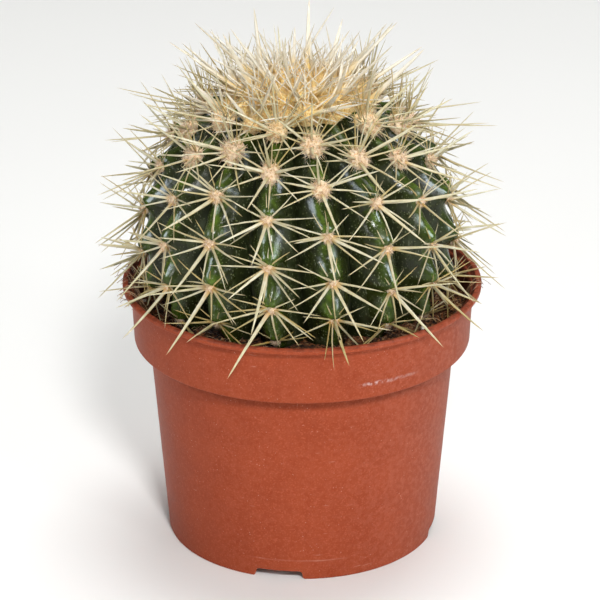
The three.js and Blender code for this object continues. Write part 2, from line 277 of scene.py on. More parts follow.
# %% [markdown]
# ## The pot
# A nursery pot is injection moulded: one thin wall, stepped out into a band under the rim, with a small lip
# and a foot ring. A potter's way suits it best: draw half of the section once and spin it round the axis.
# Each hard ring is then bevelled by its own small radius, as a mould maker breaks every edge, and these
# thin bright lines are what makes plastic look moulded.

# %% Pot section
POT_HEIGHT = 91
LIP_RADIUS = 60.7
LIP_WIDTH = 1.7
LIP_THICKNESS = 1.9
BAND_TOP_RADIUS = 57.9
BAND_BOTTOM = 70.2
BAND_RADIUS = 57
WALL_TOP_RADIUS = 51.9
FOOT_RADIUS = 46.1
FOOT_WIDTH = 2
WALL = 1.3
FLOOR_UNDERSIDE = 4
POT_STEPS = 192
NEAR = 0.01


def wall_inner_radius(height):
    """Inner radius of the pot's wall at a height below the band."""
    return FOOT_RADIUS + (WALL_TOP_RADIUS - FOOT_RADIUS) * height / BAND_BOTTOM - WALL


def pot_corners():
    """Corners of half the section, from the underside round to the floor, each with its rounding."""
    lip_bottom = POT_HEIGHT - LIP_THICKNESS
    shoulder = BAND_BOTTOM + WALL
    floor_top = FLOOR_UNDERSIDE + WALL
    return [
        (0, FLOOR_UNDERSIDE, 0),
        (FOOT_RADIUS - FOOT_WIDTH, FLOOR_UNDERSIDE, 0.4),
        (FOOT_RADIUS - FOOT_WIDTH, 0, 0.4),
        (FOOT_RADIUS, 0, 0.5),
        (WALL_TOP_RADIUS, BAND_BOTTOM, 0.5),
        (BAND_RADIUS, BAND_BOTTOM, 0.6),
        (BAND_TOP_RADIUS, lip_bottom, 0.4),
        (LIP_RADIUS, lip_bottom, 0.5),
        (LIP_RADIUS, POT_HEIGHT, 0.8),
        (LIP_RADIUS - LIP_WIDTH, POT_HEIGHT, 0.4),
        (BAND_TOP_RADIUS - WALL, lip_bottom - 0.6, 0.5),
        (BAND_RADIUS - WALL, shoulder, 0.4),
        (wall_inner_radius(shoulder), shoulder, 0.4),
        (wall_inner_radius(floor_top), floor_top, 1.2),
        (0, floor_top, 0),
    ]


def round_ring(bm, radius, height, by):
    """Bevels the one ring of edges at a radius and height."""
    def is_on_ring(vert):
        return abs(vert.co.xy.length - radius) < NEAR and abs(vert.co.z - height) < NEAR
    ring = [edge for edge in bm.edges if is_on_ring(edge.verts[0]) and is_on_ring(edge.verts[1])]
    bmesh.ops.bevel(bm, geom=ring, offset=by, segments=4, profile=0.5, affect="EDGES", material=-1)


pot_bm = bmesh.new()
corners = [pot_bm.verts.new((radius, 0, height)) for radius, height, _ in pot_corners()]
half_section = [pot_bm.edges.new(pair) for pair in zip(corners, corners[1:])]
bmesh.ops.spin(pot_bm, geom=corners + half_section, axis=(0, 0, 1), angle=math.tau, steps=POT_STEPS,
               use_merge=True)
bmesh.ops.remove_doubles(pot_bm, verts=pot_bm.verts, dist=0.001)
for radius, height, by in pot_corners():
    if by:
        round_ring(pot_bm, radius, height, by)
print("pot turned:", len(pot_bm.faces), "faces")

# %% [markdown]
# The foot has four shallow notches that let water out, and the floor has a ring of holes and one in the
# middle. They go right through, so a Boolean cut is the honest way: all the cutters share one mesh of closed
# bars and rods, and one modifier takes them away.

# %% Notches and drainage holes
NOTCH_WIDTH = 16
NOTCH_HEIGHT = 3.2
NOTCH_ROUNDING = 1.5
FIRST_NOTCH_AZIMUTH = -9.7
NOTCHES = 4
BAR_LENGTH = 12
BAR_OUTSIDE = 5
BAR_BELOW = 2
BAR_SILL = -0.05
DRAIN_RADIUS = 4.5
DRAIN_CIRCLE_RADIUS = 31
DRAINS = 6


def add_notch_cutter(bm, azimuth):
    """A bar across the foot ring, rounded at its top and flared where the notch meets the ground."""
    before = set(bm.verts)
    half = NOTCH_WIDTH / 2
    wide = half + 2 * NOTCH_ROUNDING
    outline = [(-wide, -BAR_BELOW), (-wide, BAR_SILL), (-half, BAR_SILL), (-half, NOTCH_HEIGHT)]
    outline += [(-x, z) for x, z in reversed(outline)]
    front = bm.faces.new([bm.verts.new((x, -FOOT_RADIUS - BAR_OUTSIDE, z)) for x, z in outline])
    extruded = bmesh.ops.extrude_face_region(bm, geom=[front])["geom"]
    back = [part for part in extruded if isinstance(part, bmesh.types.BMVert)]
    bmesh.ops.translate(bm, vec=(0, BAR_LENGTH, 0), verts=back)
    added = [vert for vert in bm.verts if vert not in before]
    corners = {vert for vert in added if abs(abs(vert.co.x) - half) < NEAR}
    edges = {edge for vert in corners for edge in vert.link_edges if edge.other_vert(vert) in corners}
    longways = [edge for edge in edges if abs(edge.verts[0].co.y - edge.verts[1].co.y) > 1]
    bmesh.ops.bevel(bm, geom=longways, offset=NOTCH_ROUNDING, segments=5, profile=0.5, affect="EDGES",
                    material=-1)
    added = [vert for vert in bm.verts if vert not in before]
    bmesh.ops.transform(bm, matrix=Matrix.Rotation(math.radians(azimuth), 4, "Z"), verts=added)


def add_drain_cutter(bm, place):
    middle = Matrix.Translation((place[0], place[1], FLOOR_UNDERSIDE + WALL / 2))
    bmesh.ops.create_cone(bm, segments=36, radius1=DRAIN_RADIUS, radius2=DRAIN_RADIUS, depth=3 * WALL,
                          cap_ends=True, matrix=middle)


def cut_away(bm, cutters):
    """The bmesh with the closed shapes of another taken away."""
    things = []
    for name, shape in (("whole", bm), ("cutters", cutters)):
        mesh = bpy.data.meshes.new(name)
        bmesh.ops.recalc_face_normals(shape, faces=shape.faces)
        shape.to_mesh(mesh)
        shape.free()
        things.append(bpy.data.objects.new(name, mesh))
        scene.collection.objects.link(things[-1])
    cut = things[0].modifiers.new("cut", "BOOLEAN")
    cut.operation = "DIFFERENCE"
    cut.solver = "EXACT"
    cut.object = things[1]
    result = bmesh.new()
    result.from_object(things[0], bpy.context.evaluated_depsgraph_get())
    for thing in things:
        bpy.data.objects.remove(thing)
    return result


cutters = bmesh.new()
for i in range(NOTCHES):
    add_notch_cutter(cutters, FIRST_NOTCH_AZIMUTH + 360 * i / NOTCHES)
add_drain_cutter(cutters, (0, 0))
for i in range(DRAINS):
    add_drain_cutter(cutters, heading(FIRST_NOTCH_AZIMUTH + 360 * i / DRAINS) * DRAIN_CIRCLE_RADIUS)
pot_bm = cut_away(pot_bm, cutters)
print("pot cut:", len(pot_bm.faces), "faces")

# %% [markdown]
# ## Moulded terracotta plastic
# The colour is not even: the pigment clouds, the band shows faint upright sink marks where ribs stand inside,
# handling leaves pale scuffs and dust, and soil clings to the rim. Some of it is painted light: a pale sheen
# on the right side, shade on the inner wall of the band and a shadow under the band. None of it needs a
# picture. Each mark is a mask on the height and the azimuth of a point, broken up by noise so that no edge is
# ruler straight.

# %% Marks on the pot
SCUFF_AZIMUTHS = (-24, 52)
SCUFF_HEIGHT = 7.3
SCRATCH_AZIMUTHS = (18, 43)
SCRATCH_HEIGHT = 75.4


def band_of(value, middle, half_width):
    """1 where a value is near the middle, 0 farther away than the half width."""
    return abs(value - middle).ramp(half_width, 0)


def between(value, ends, fade):
    """1 well between two ends, fading to 0 at each of them."""
    return value.ramp(ends[0], ends[0] + fade) * value.ramp(ends[1], ends[1] - fade)


def worn_places(pot, azimuth, z):
    """Masks of the pale scuffs and dust, and of the scratch on the band."""
    scuff = band_of(z + pot.noise(9, 1) * 0.8, SCUFF_HEIGHT + 0.4, 0.45)
    scuff = scuff * pot.noise(5, 4, (3, 3, 1)).ramp(0.4, 0.66) * between(azimuth, SCUFF_AZIMUTHS, 8)
    worn = pot.noise(0.9, 2, (7, 7, 1)).ramp(0.68, 0.78) * pot.noise(16, 1).ramp(0.5, 0.66)
    dust = pot.dots(1.5).ramp(0.13, 0.05) * pot.noise(5, 2).ramp(0.4, 0.64)
    pale = pot.maths("MAXIMUM", scuff * 0.26, worn * 0.22)
    scratch = band_of(z + pot.noise(3, 3), SCRATCH_HEIGHT + 0.5, 0.9) * between(azimuth, SCRATCH_AZIMUTHS, 5)
    scratch = scratch * pot.noise(1.4, 2).ramp(0.34, 0.64) * (0.35 + azimuth.ramp(36, 22) * 0.65)
    return pot.maths("MAXIMUM", pale, dust * 0.5), scratch


def stain_and_painted_shade(pot, x, y, z, grain):
    """Mask of the dark inner wall of the band and the strip under the lip, soil stain together with painted
    shade, and of the dirt on the rim.
    """
    flare = (BAND_TOP_RADIUS - BAND_RADIUS) / (POT_HEIGHT - LIP_THICKNESS - BAND_BOTTOM)
    from_axis = pot.maths("SQRT", x * x + y * y) - (z - BAND_BOTTOM) * flare
    lip_inside = LIP_RADIUS - LIP_WIDTH - 1
    # Painted shade with soil stain: the inner wall of the band and the strip under the lip are darkened.
    by_lip = from_axis.ramp(lip_inside + 0.1, lip_inside - 0.3) * z.ramp(POT_HEIGHT - 1.8, POT_HEIGHT - 1.2)
    inside = from_axis.ramp(BAND_RADIUS - 0.3, BAND_RADIUS - 0.9) * z.ramp(BAND_BOTTOM, BAND_BOTTOM + 3)
    inside = pot.maths("MAXIMUM", inside, by_lip)
    on_rim = z.ramp(POT_HEIGHT - 0.9, POT_HEIGHT - 0.3) * (0.15 + pot.noise(2.2, 3).ramp(0.4, 0.65) * 0.4)
    return pot.maths("MAXIMUM", on_rim, inside * (0.6 + grain * 0.6))


print("scuffs at height", SCUFF_HEIGHT, "and a scratch at height", SCRATCH_HEIGHT)

# %% [markdown]
# The plain colour comes first, two close shades of terracotta in soft clouds. Each mark is one more coat over
# it: speckle and grain, sink marks, dust with a pale painted sheen on the right side, scuffs, the scratch,
# then the dirt of the rim and soil stain with painted shade inside the band, and last a painted shadow on the
# wall under the band. The plastic is matt, with a fine grain that comes from the mould.

# %% Pot finish
SINK_AZIMUTHS = (-35, -8, 62, 118, 171, -128, -84)
SINK_HALF_WIDTH = 2.2
# Azimuths of the pale painted sheen over the right side of the pot.
PAINTED_SHEEN_AZIMUTHS = (5, 150)


def make_pot_finish():
    pot = Finish("terracotta plastic")
    x, y, z = pot.axes()
    azimuth = pot.maths("ARCTAN2", x, y * -1) * math.degrees(1)
    cloud = pot.noise(14, 4).ramp(0.3, 0.7)
    grain = pot.noise(1.6, 3)
    speckle = pot.noise(0.6, 2)
    sink = band_of(azimuth, SINK_AZIMUTHS[0], SINK_HALF_WIDTH)
    for place in SINK_AZIMUTHS[1:]:
        sink = sink + band_of(azimuth, place, SINK_HALF_WIDTH)
    sink = sink * z.ramp(BAND_BOTTOM - 0.2, BAND_BOTTOM + 1)
    # A little dust all round, and a pale painted sheen that makes the right side of the pot lighter.
    dust_and_painted_sheen = 0.06 + between(azimuth, PAINTED_SHEEN_AZIMUTHS, 55) * 0.2
    pale, scratch = worn_places(pot, azimuth, z)
    # Painted shadow: the wall is darkened in a line just under the band.
    painted_band_shadow = z.ramp(BAND_BOTTOM - 5.2, BAND_BOTTOM - 3) * z.ramp(BAND_BOTTOM + 0.1, BAND_BOTTOM - 0.1)
    base = pot.coats(
        paint("903F25"),
        (cloud, "974429"),
        (speckle.ramp(0.5, 0.72) * 0.38, "BC6246"),
        (grain.ramp(0.48, 0.75) * 0.35, "883319"),
        (sink * 0.12, "74331F"),
        ((0.3 + pot.noise(1.8, 4).ramp(0.42, 0.64) * 0.7) * dust_and_painted_sheen, "C47A64"),
        (pale, "DDB49E"),
        (scratch * 0.6, "DCC8C4"),
        (stain_and_painted_shade(pot, x, y, z, grain), "3E1C12"),
        (painted_band_shadow * (0.2 + grain * 0.2), "4A1C0E"),
    )
    height = grain * 0.03 + speckle * 0.02 + pot.noise(0.35, 1) * 0.012 - sink * 0.04
    pot.feed(pot.shader, {
        "Base Color": base,
        "Roughness": 0.43 + cloud * 0.05 + pale * 0.3 + grain * 0.05,
        "Normal": pot.bump(height),
        "Specular IOR Level": 0.06,
    })
    return pot


finish_piece("nursery_pot", pot_bm, make_pot_finish(), ["pot"], sharp_over=32)

# %% [markdown]
# ## The ribbed globe
# The plant is a globe whose skin is gathered into upright ribs, slightly twisted, with a tubercle at every
# areole, the cushion that its spines grow from. A sculpted lump would never have sixteen equal ribs, so the
# form is a formula: where a point lies across its rib and how far it is from the crown, measured along the
# skin, give its distance from the smooth globe.

# %% Form of the globe
PLANT_X = -1.5
GLOBE_RADIUS = 51
GLOBE_HALF_HEIGHT = 50.3
GLOBE_CENTRE = 108.5
CROWN_DIP = 3
CROWN_DIP_RADIUS = 13
RIBS = 16
FRONT_RIB_AZIMUTH = -11.5
TWIST = 0.08
TWIST_ZERO_ARC = 60
FURROW_DEPTH = 8.5
SOIL_ARC = 106
BASE_ARC = 130
ROOT_LENGTH = 34
FIRST_AREOLE_ARC = 27.1
LAST_AREOLE_ARC = 101
AREOLE_PITCH = 15.1
AREOLE_TIGHTENING = 0.08
AREOLE_TURN = 3 / 8
AREOLE_SLIP = 2.5
BULGE_HEIGHT = 3.5
BULGE_ABOVE_AREOLE = 2.2
BULGE_LENGTH_ABOVE = 4.6
BULGE_LENGTH_BELOW = 2.6
BULGE_NARROWNESS = 2.1


def globe_profile(arc):
    """Radius and height of the smooth globe at arc lengths from the crown, with the root below the soil."""
    arc = np.asarray(arc, float)
    above = np.minimum(arc, BASE_ARC)
    polar = above / GLOBE_RADIUS
    dip = CROWN_DIP * np.exp(-(above / CROWN_DIP_RADIUS) ** 2)
    along = np.clip((arc - BASE_ARC) / ROOT_LENGTH, 0, 1)
    radius = GLOBE_RADIUS * np.sin(polar) * (1 - along) ** 0.9
    return radius, GLOBE_CENTRE + GLOBE_HALF_HEIGHT * np.cos(polar) - dip - ROOT_LENGTH * along


def areole_arcs(rib):
    """Arc lengths of the areoles on one rib: neighbouring ribs are three eighths of a pitch apart."""
    phase = AREOLE_TURN * rib
    arc = FIRST_AREOLE_ARC + AREOLE_PITCH * (phase - math.floor(phase)) + AREOLE_SLIP * draw(rib, 166, 9)
    arcs = []
    while arc < LAST_AREOLE_ARC:
        arcs.append(arc)
        arc += AREOLE_PITCH - AREOLE_TIGHTENING * max(0, arc - TWIST_ZERO_ARC)
    return [place for place in arcs if place > FIRST_AREOLE_ARC - 1]


def rib_azimuth(rib, arc):
    return FRONT_RIB_AZIMUTH + 360 * rib / RIBS + TWIST * (arc - TWIST_ZERO_ARC)


def rib_at(azimuth, arc):
    """The rib at an azimuth, and the place across it from -1 to 1."""
    turn = (azimuth - float(rib_azimuth(0, arc))) / (360 / RIBS)
    rib = round(turn)
    return rib % RIBS, 2 * (turn - rib)


print("areoles:", sum(len(areole_arcs(rib)) for rib in range(RIBS)))

# %% [markdown]
# Across a rib the skin falls away from the ridge as a parabola, and each areole adds a rounded bulge that is
# longer above than below. Both are measured square to the smooth globe, whose slope comes from two points of
# its profile a little way apart, so the ribs keep their shape all the way to the crown.

# %% Points on the skin
SLOPE_STEP = 0.5


def relief(rib, across, arc):
    """Height over the smooth globe: 0 on a ridge, less in the furrows, most just above each areole."""
    buried = 1 - smooth_step(arc, SOIL_ARC, BASE_ARC)
    girth = np.sin(np.minimum(arc, BASE_ARC) / GLOBE_RADIUS) ** 0.8
    height = -FURROW_DEPTH * girth * across ** 2
    for areole in areole_arcs(rib):
        past_top = arc - areole + BULGE_ABOVE_AREOLE
        along = past_top / np.where(past_top < 0, BULGE_LENGTH_ABOVE, BULGE_LENGTH_BELOW)
        height = height + BULGE_HEIGHT * np.exp(-along ** 2 - (BULGE_NARROWNESS * across) ** 2)
    return height * buried


def skin_point(rib, across, arc):
    """Points on the skin of one rib, from the place across it (-1 to 1) and the arc from the crown."""
    across = np.asarray(across, float)
    arc = np.asarray(arc, float)
    radius, height = globe_profile(arc)
    radius_before, height_before = globe_profile(np.maximum(0, arc - SLOPE_STEP))
    radius_after, height_after = globe_profile(arc + SLOPE_STEP)
    slope = np.hypot(radius_after - radius_before, height_after - height_before) + 1e-9
    lift = relief(rib, across, arc)
    skin_radius = np.maximum(0, radius + lift * (height_before - height_after) / slope)
    place = heading(rib_azimuth(rib, arc) + 180 * across / RIBS) * skin_radius[..., None]
    place[..., 0] += PLANT_X
    place[..., 2] = height + lift * (radius_after - radius_before) / slope
    return place


print("widest point of the front rib:", skin_point(0, 0, 80).round(1))

# %% [markdown]
# A UV sphere has just those two directions in its mesh, rows from pole to pole and columns round the axis, so
# it becomes the plant when its vertices are moved by the formula. A whole number of columns to a rib puts an
# edge along every ridge and furrow. The lowest rows make the root, which the soil hides.

# %% Ribbed skin
COLUMNS_PER_RIB = 24
ROWS_ABOVE_SOIL = 132
ROWS_BELOW_SOIL = 24
SWELL_ABOVE_AREOLE = 4
SWELL_LENGTH = 4.5


def grid_of_sphere(columns, rows):
    """A UV sphere with the row and column of each of its vertices, row 0 at the top."""
    bm = bmesh.new()
    bmesh.ops.create_uvsphere(bm, u_segments=columns, v_segments=rows, radius=1)
    places = np.array([vert.co for vert in bm.verts])
    row = np.rint(np.arccos(np.clip(places[:, 2], -1, 1)) / math.pi * rows).astype(int)
    turn = np.arctan2(places[:, 0], -places[:, 1]) / math.tau * columns
    return bm, row, np.rint(turn).astype(int) % columns


def move_verts(bm, places):
    for vert, place in zip(bm.verts, places):
        vert.co = place


def set_layer(bm, name, values):
    """Stores one number for each vertex, which a finish can read as an attribute."""
    layer = bm.verts.layers.float.new(name)
    for vert, value in zip(bm.verts, values):
        vert[layer] = value


def make_skin():
    rows = ROWS_ABOVE_SOIL + ROWS_BELOW_SOIL
    bm, row, column = grid_of_sphere(RIBS * COLUMNS_PER_RIB, rows)
    above = np.minimum(row, ROWS_ABOVE_SOIL) / ROWS_ABOVE_SOIL
    deep = np.maximum(0, row - ROWS_ABOVE_SOIL) / ROWS_BELOW_SOIL
    arc = SOIL_ARC * above + (BASE_ARC + ROOT_LENGTH - SOIL_ARC) * deep
    rib = np.rint(column / COLUMNS_PER_RIB).astype(int)
    across = 2 * (column / COLUMNS_PER_RIB - rib)
    places = np.zeros((len(row), 3))
    swell = np.zeros(len(row))
    for i in range(RIBS):
        mine = rib % RIBS == i
        places[mine] = skin_point(i, across[mine], arc[mine])
        for areole in areole_arcs(i):
            swell[mine] += np.exp(-((arc[mine] - areole + SWELL_ABOVE_AREOLE) / SWELL_LENGTH) ** 2)
    poles = (row == 0) | (row == rows)
    places[poles, :2] = (PLANT_X, 0)
    move_verts(bm, places)
    set_layer(bm, "across", np.where(poles, 0, np.abs(across)))
    set_layer(bm, "swell", swell)
    return bm


skin_bm = make_skin()

# %% [markdown]
# ## Green skin
# The skin is a dark waxy green, fresher along the ridges and sprinkled with fine pale pores, and down in the
# furrows painted shade makes it nearly black. It is glossy, so a window leaves a whitish streak on each
# tubercle. The mesh carries how far a point lies across its rib, and the finish reads that as an attribute: an
# even band of green would need a painted texture otherwise.

# %% Skin finish
def make_skin_finish():
    skin = Finish("green skin")
    across = skin.attribute("across")
    swell = skin.attribute("swell")
    cloud = skin.noise(5, 4)
    mottle = skin.noise(1.3, 3)
    ridge = (across + (cloud - 0.5) * 0.4 + (mottle - 0.5) * 0.25 - swell * 0.12).ramp(0.4, 0.02)
    fresh = skin.noise(4, 2, (1, 1, 1.5)).ramp(0.46, 0.66)
    green = skin.mix(fresh, paint("374716"), paint("51691E"))
    pores = skin.dots(1.0).ramp(0.3, 0.14) * skin.noise(2.6, 2).ramp(0.36, 0.56)
    dashes = skin.noise(0.55, 2, (1, 1, 3)).ramp(0.62, 0.72) * skin.noise(6, 1).ramp(0.4, 0.6)
    bloom = skin.noise(8, 3, (1, 1, 1.6)).ramp(0.52, 0.75)
    base = skin.coats(
        skin.mix(ridge, paint("21260A"), green),
        # Painted shade: the furrows are darkened to nearly black.
        (across.ramp(0.6, 1), "1C210E"),
        (mottle.ramp(0.45, 0.75) * 0.6, "2C3715"),
        (pores * 0.45, "8F9668"),
        (dashes * 0.45, "A3A98A"),
        (bloom * 0.1, "8C9678"),
    )
    height = mottle * 0.08 + skin.noise(6, 2) * 0.2 + pores * 0.03
    skin.feed(skin.shader, {
        "Base Color": base,
        "Roughness": 0.15 + bloom * 0.2 + cloud * 0.07 + across.ramp(0.35, 0.9) * 0.15,
        "Normal": skin.bump(height),
        "Specular IOR Level": 0.28,
    })
    return skin


finish_piece("ribbed_skin", skin_bm, make_skin_finish(), ["cactus_body"])

# %% [markdown]
# ## The soil
# The plant stands in dark peat. The bed is one closed body that fills the pot and has a hole for the plant's
# base, whose edge has to follow every rib. The same trick as for the skin works: the rows of a sphere are
# laid along the bottom, up the wall, in over the surface and down the hole, and its columns line up with the
# ribs. The open surface gets most of the rows, because only there does a lump of peat show.

# %% Soil bed
SOIL_AT_WALL = 80
SOIL_AT_PLANT = 85
SEAT_GAP = 0.3
SOIL_EDGE_ARC = 104.9
HOLE_GAP = 0.35
BED_RADIUS = BAND_RADIUS - WALL - SEAT_GAP
MOUND_RADII = (45, 56)
LUMPS_END_RADII = (53.5, 55.5)
BROAD_LUMP = 5
FINE_LUMP = 1.3
BED_ROWS = {"bottom": 5, "wall": 7, "shoulder": 2, "band": 3, "surface": 30, "hole": 14}


def soil_surface(radius):
    return SOIL_AT_PLANT + (SOIL_AT_WALL - SOIL_AT_PLANT) * smooth_step(radius, *MOUND_RADII)


def peat_lump(x, y):
    """Height of the lumps of peat at a place."""
    broad = noise.fractal(Vector((x / BROAD_LUMP, y / BROAD_LUMP, 3)), 1, 2, 4)
    fine = noise.noise(Vector((x / FINE_LUMP, y / FINE_LUMP, 7)))
    return 0.9 * broad + 0.45 * fine


def peat_height(x, y):
    """Height of the top of the soil at a place."""
    radius = math.hypot(x, y)
    return float(soil_surface(radius)) + peat_lump(x, y) * float(1 - smooth_step(radius, *LUMPS_END_RADII))


def bed_place(part, share):
    """Radius and height at a share of one of the parts of the bed that touch the pot."""
    bottom = FLOOR_UNDERSIDE + WALL + SEAT_GAP
    shoulder = BAND_BOTTOM + WALL + SEAT_GAP
    low = wall_inner_radius(bottom) - SEAT_GAP
    high = wall_inner_radius(shoulder) - SEAT_GAP - 0.1
    ends = {
        "bottom": ((0, bottom), (low, bottom)),
        "wall": ((low, bottom), (high, shoulder)),
        "shoulder": ((high, shoulder), (BED_RADIUS, shoulder)),
        "band": ((BED_RADIUS, shoulder), (BED_RADIUS, SOIL_AT_WALL - 1)),
    }
    (radius, height), (next_radius, next_height) = ends[part]
    return radius + (next_radius - radius) * share, height + (next_height - height) * share


def make_bed():
    rows = sum(BED_ROWS.values())
    bm, row, column = grid_of_sphere(RIBS * COLUMNS_PER_RIB, rows)
    starts = np.cumsum([0] + list(BED_ROWS.values()))
    parts = list(BED_ROWS)
    for vert, i, j in zip(bm.verts, row, column):
        rib = round(j / COLUMNS_PER_RIB)
        across = 2 * (j / COLUMNS_PER_RIB - rib)
        step = min(int(np.searchsorted(starts, i, "right")) - 1, len(parts) - 1)
        part = parts[step]
        share = (i - starts[step]) / BED_ROWS[part]
        below = share if part == "hole" else 0
        arc = SOIL_EDGE_ARC + (BASE_ARC + ROOT_LENGTH - SOIL_EDGE_ARC) * below
        edge = skin_point(rib % RIBS, across, arc)
        gap = Vector((edge[0] - PLANT_X, edge[1], 0)).normalized() * HOLE_GAP
        out = Vector(heading(float(rib_azimuth(rib, SOIL_EDGE_ARC)) + 180 * across / RIBS))
        if i == rows:
            vert.co = (PLANT_X, 0, edge[2] - HOLE_GAP)
        elif part == "hole":
            vert.co = Vector(edge) + gap
            vert.co.z = edge[2] if share else peat_height(vert.co.x, vert.co.y)
        elif part == "surface":
            place = (out * BED_RADIUS).lerp(Vector((edge[0], edge[1], 0)) + gap, share)
            vert.co = (place.x, place.y, peat_height(place.x, place.y))
        else:
            radius, height = bed_place(part, share)
            vert.co = (out.x * radius, out.y * radius, height)
    return bm


soil_bm = make_bed()
print("soil bed:", len(soil_bm.faces), "faces")

# %% [markdown]
# Moist peat is nearly black between its crumbs and brown on them, with single flecks of reddish bark and pale
# fibre. A dots pattern gives each of its cells a random colour, and one channel of that picks the few cells
# that become flecks.

# %% Peat finish
def make_peat_finish():
    peat = Finish("dark peat")
    cloud = peat.noise(1.5, 4, roughness=0.7)
    fleck = peat.node("ShaderNodeSeparateXYZ", {}, {0: peat.dots(0.8, "Color")}, "X")
    base = peat.coats(
        paint("180D08"),
        (cloud.ramp(0.35, 0.7), "5C3A22"),
        (fleck.ramp(0.66, 0.86) * 0.7, "8A5430"),
        (fleck.ramp(0.14, 0.05) * 0.6, "B08A5E"),
    )
    height = cloud * 0.5 + peat.noise(0.6, 3) * 0.25
    peat.feed(peat.shader, {
        "Base Color": base,
        "Roughness": 0.86 + cloud * 0.12,
        "Normal": peat.bump(height),
        "Specular IOR Level": 0.15,
    })
    return peat


peat_finish = make_peat_finish()
finish_piece("soil_bed", soil_bm, peat_finish, ["soil"])

# %% [markdown]
# ## Copies of small shapes
# Crumbs, fibres, spines and wool are hundreds of bits of a few kinds. Each kind starts as one small shape
# made with operators. Copies of it are read into one bmesh and moved into place, which keeps all of them in
# a single piece. A bit that is long and thin, such as a fibre or a spine, is a straight rod with rings that
# is laid along a path.

# %% Copies of small shapes
UP = np.array([0.0, 0.0, 1.0])


def rod_shape(sides, rings, is_pointed=True):
    """A straight rod of unit radius from height 0 to 1, with rings to bend at."""
    bm = bmesh.new()
    tip = 0 if is_pointed else 1
    bmesh.ops.create_cone(bm, segments=sides, radius1=1, radius2=tip, depth=1, cap_ends=True)
    bmesh.ops.translate(bm, vec=(0, 0, 0.5), verts=bm.verts)
    for height in rings:
        everything = bm.verts[:] + bm.edges[:] + bm.faces[:]
        bmesh.ops.bisect_plane(bm, geom=everything, plane_co=(0, 0, height), plane_no=(0, 0, 1))
    for vert in bm.verts:
        spread = vert.co.xy.length
        if spread > 1e-4:
            vert.co.xy /= spread
    set_layer(bm, "along", [vert.co.z for vert in bm.verts])
    set_layer(bm, "edge", [abs(vert.co.x) for vert in bm.verts])
    set_layer(bm, "tone", [0] * len(bm.verts))
    return bm


def stored(bm, name):
    """The bmesh as a mesh that copies can be read from, and its vertices as an array."""
    mesh = bpy.data.meshes.new(name)
    bm.to_mesh(mesh)
    bm.free()
    return mesh, np.array([vert.co for vert in mesh.vertices])


def add_copy(bm, mesh, places, tone=None):
    """Reads a copy of a mesh into a bmesh, with its vertices at the places and one tone for all of them."""
    first = len(bm.verts)
    bm.from_mesh(mesh)
    bm.verts.ensure_lookup_table()
    for vert, place in zip(bm.verts[first:], places):
        vert.co = place
    if tone is not None:
        layer = bm.verts.layers.float["tone"]
        for vert in bm.verts[first:]:
            vert[layer] = tone


def unit(vectors):
    return vectors / (np.linalg.norm(vectors, axis=-1, keepdims=True) + 1e-12)


def laid_along(rod, path, width, facing=UP, flatness=1.0):
    """Places of a rod's vertices along a path. The path and the half width are functions of the share."""
    x, y, share = rod.T
    tangent = unit(path(share + 0.01) - path(share - 0.01))
    side = unit(np.cross(tangent, facing))
    over = np.cross(side, tangent)
    half = width(share)
    return path(share) + side * (x * half * flatness)[:, None] + over * (y * half / flatness)[:, None]


# %% [markdown]
# ## What lies on the soil
# Loose crumbs and flat chips of bark lie on the bed. Four faceted lumps are enough, because every copy has
# its own size and turn. Each finds a place on the open ring of soil between the plant and the wall.

# %% Crumbs and chips
CRUMBS = 1100
CHIPS = 150
OPEN_SOIL_RADIUS = 50.5
OPEN_SOIL_HALF_WIDTH = 5
CLEAR_OF_PLANT = 0.8
PLACE_TRIES = 20
LUMP_SHAPES = 4


def soil_place(i, kind):
    """A place on the open soil, drawn evenly between the plant and the wall."""
    for attempt in range(PLACE_TRIES):
        azimuth = 180 * draw(i, kind, attempt)
        radius = OPEN_SOIL_RADIUS + OPEN_SOIL_HALF_WIDTH * draw(i, kind + 1, attempt)
        place = heading(azimuth) * radius
        rib, across = rib_at(azimuth, SOIL_EDGE_ARC)
        edge = skin_point(rib, across, SOIL_EDGE_ARC)
        from_plant = math.hypot(place[0] - PLANT_X, place[1])
        if from_plant > math.hypot(edge[0] - PLANT_X, edge[1]) + CLEAR_OF_PLANT:
            break
    place[2] = peat_height(place[0], place[1])
    return place


def crumb_shape(seed, detail):
    """A faceted lump with every vertex pushed in or out."""
    bm = bmesh.new()
    bmesh.ops.create_icosphere(bm, subdivisions=detail, radius=1)
    for i, vert in enumerate(bm.verts):
        vert.co *= 1 + 0.28 * draw(i, seed, 11)
    return stored(bm, "crumb")


def turned_and_sized(shape, sizes, seed):
    """The shape's vertices sized along each axis and turned at random."""
    turn = Matrix.Rotation(math.pi * draw(seed, 1, 12), 3, "Z") @ Matrix.Rotation(draw(seed, 2, 12), 3, "X")
    return (shape * np.array(sizes)) @ np.array(turn).T


def scatter_lumps(count, kind, sizes, spread):
    """Lumps over the soil, each with its own size round the given one."""
    bm = bmesh.new()
    shapes = [crumb_shape(seed, 1 + seed % 2) for seed in range(LUMP_SHAPES)]
    for i in range(count):
        mesh, shape = shapes[i % len(shapes)]
        size = 1 + spread * draw(i, kind, 13)
        place = soil_place(i, kind) + UP * sizes[2] * size * 0.3
        add_copy(bm, mesh, turned_and_sized(shape, np.array(sizes) * size, i + kind) + place)
    return bm


crumbs = scatter_lumps(CRUMBS, 20, (0.6, 0.5, 0.42), 0.5)
finish_piece("peat_crumbs", crumbs, peat_finish)
chips = scatter_lumps(CHIPS, 24, (1.5, 0.7, 0.35), 0.45)
finish_piece("bark_chips", chips, peat_finish)

# %% [markdown]
# Curled root fibres thread through the crumbs, and a few hang over the rim at the left and the right. Each is
# a thin rod on a waving path. A few white grains of perlite, which growers mix in to keep the soil airy, are
# the same lumps as the crumbs with a chalky finish.

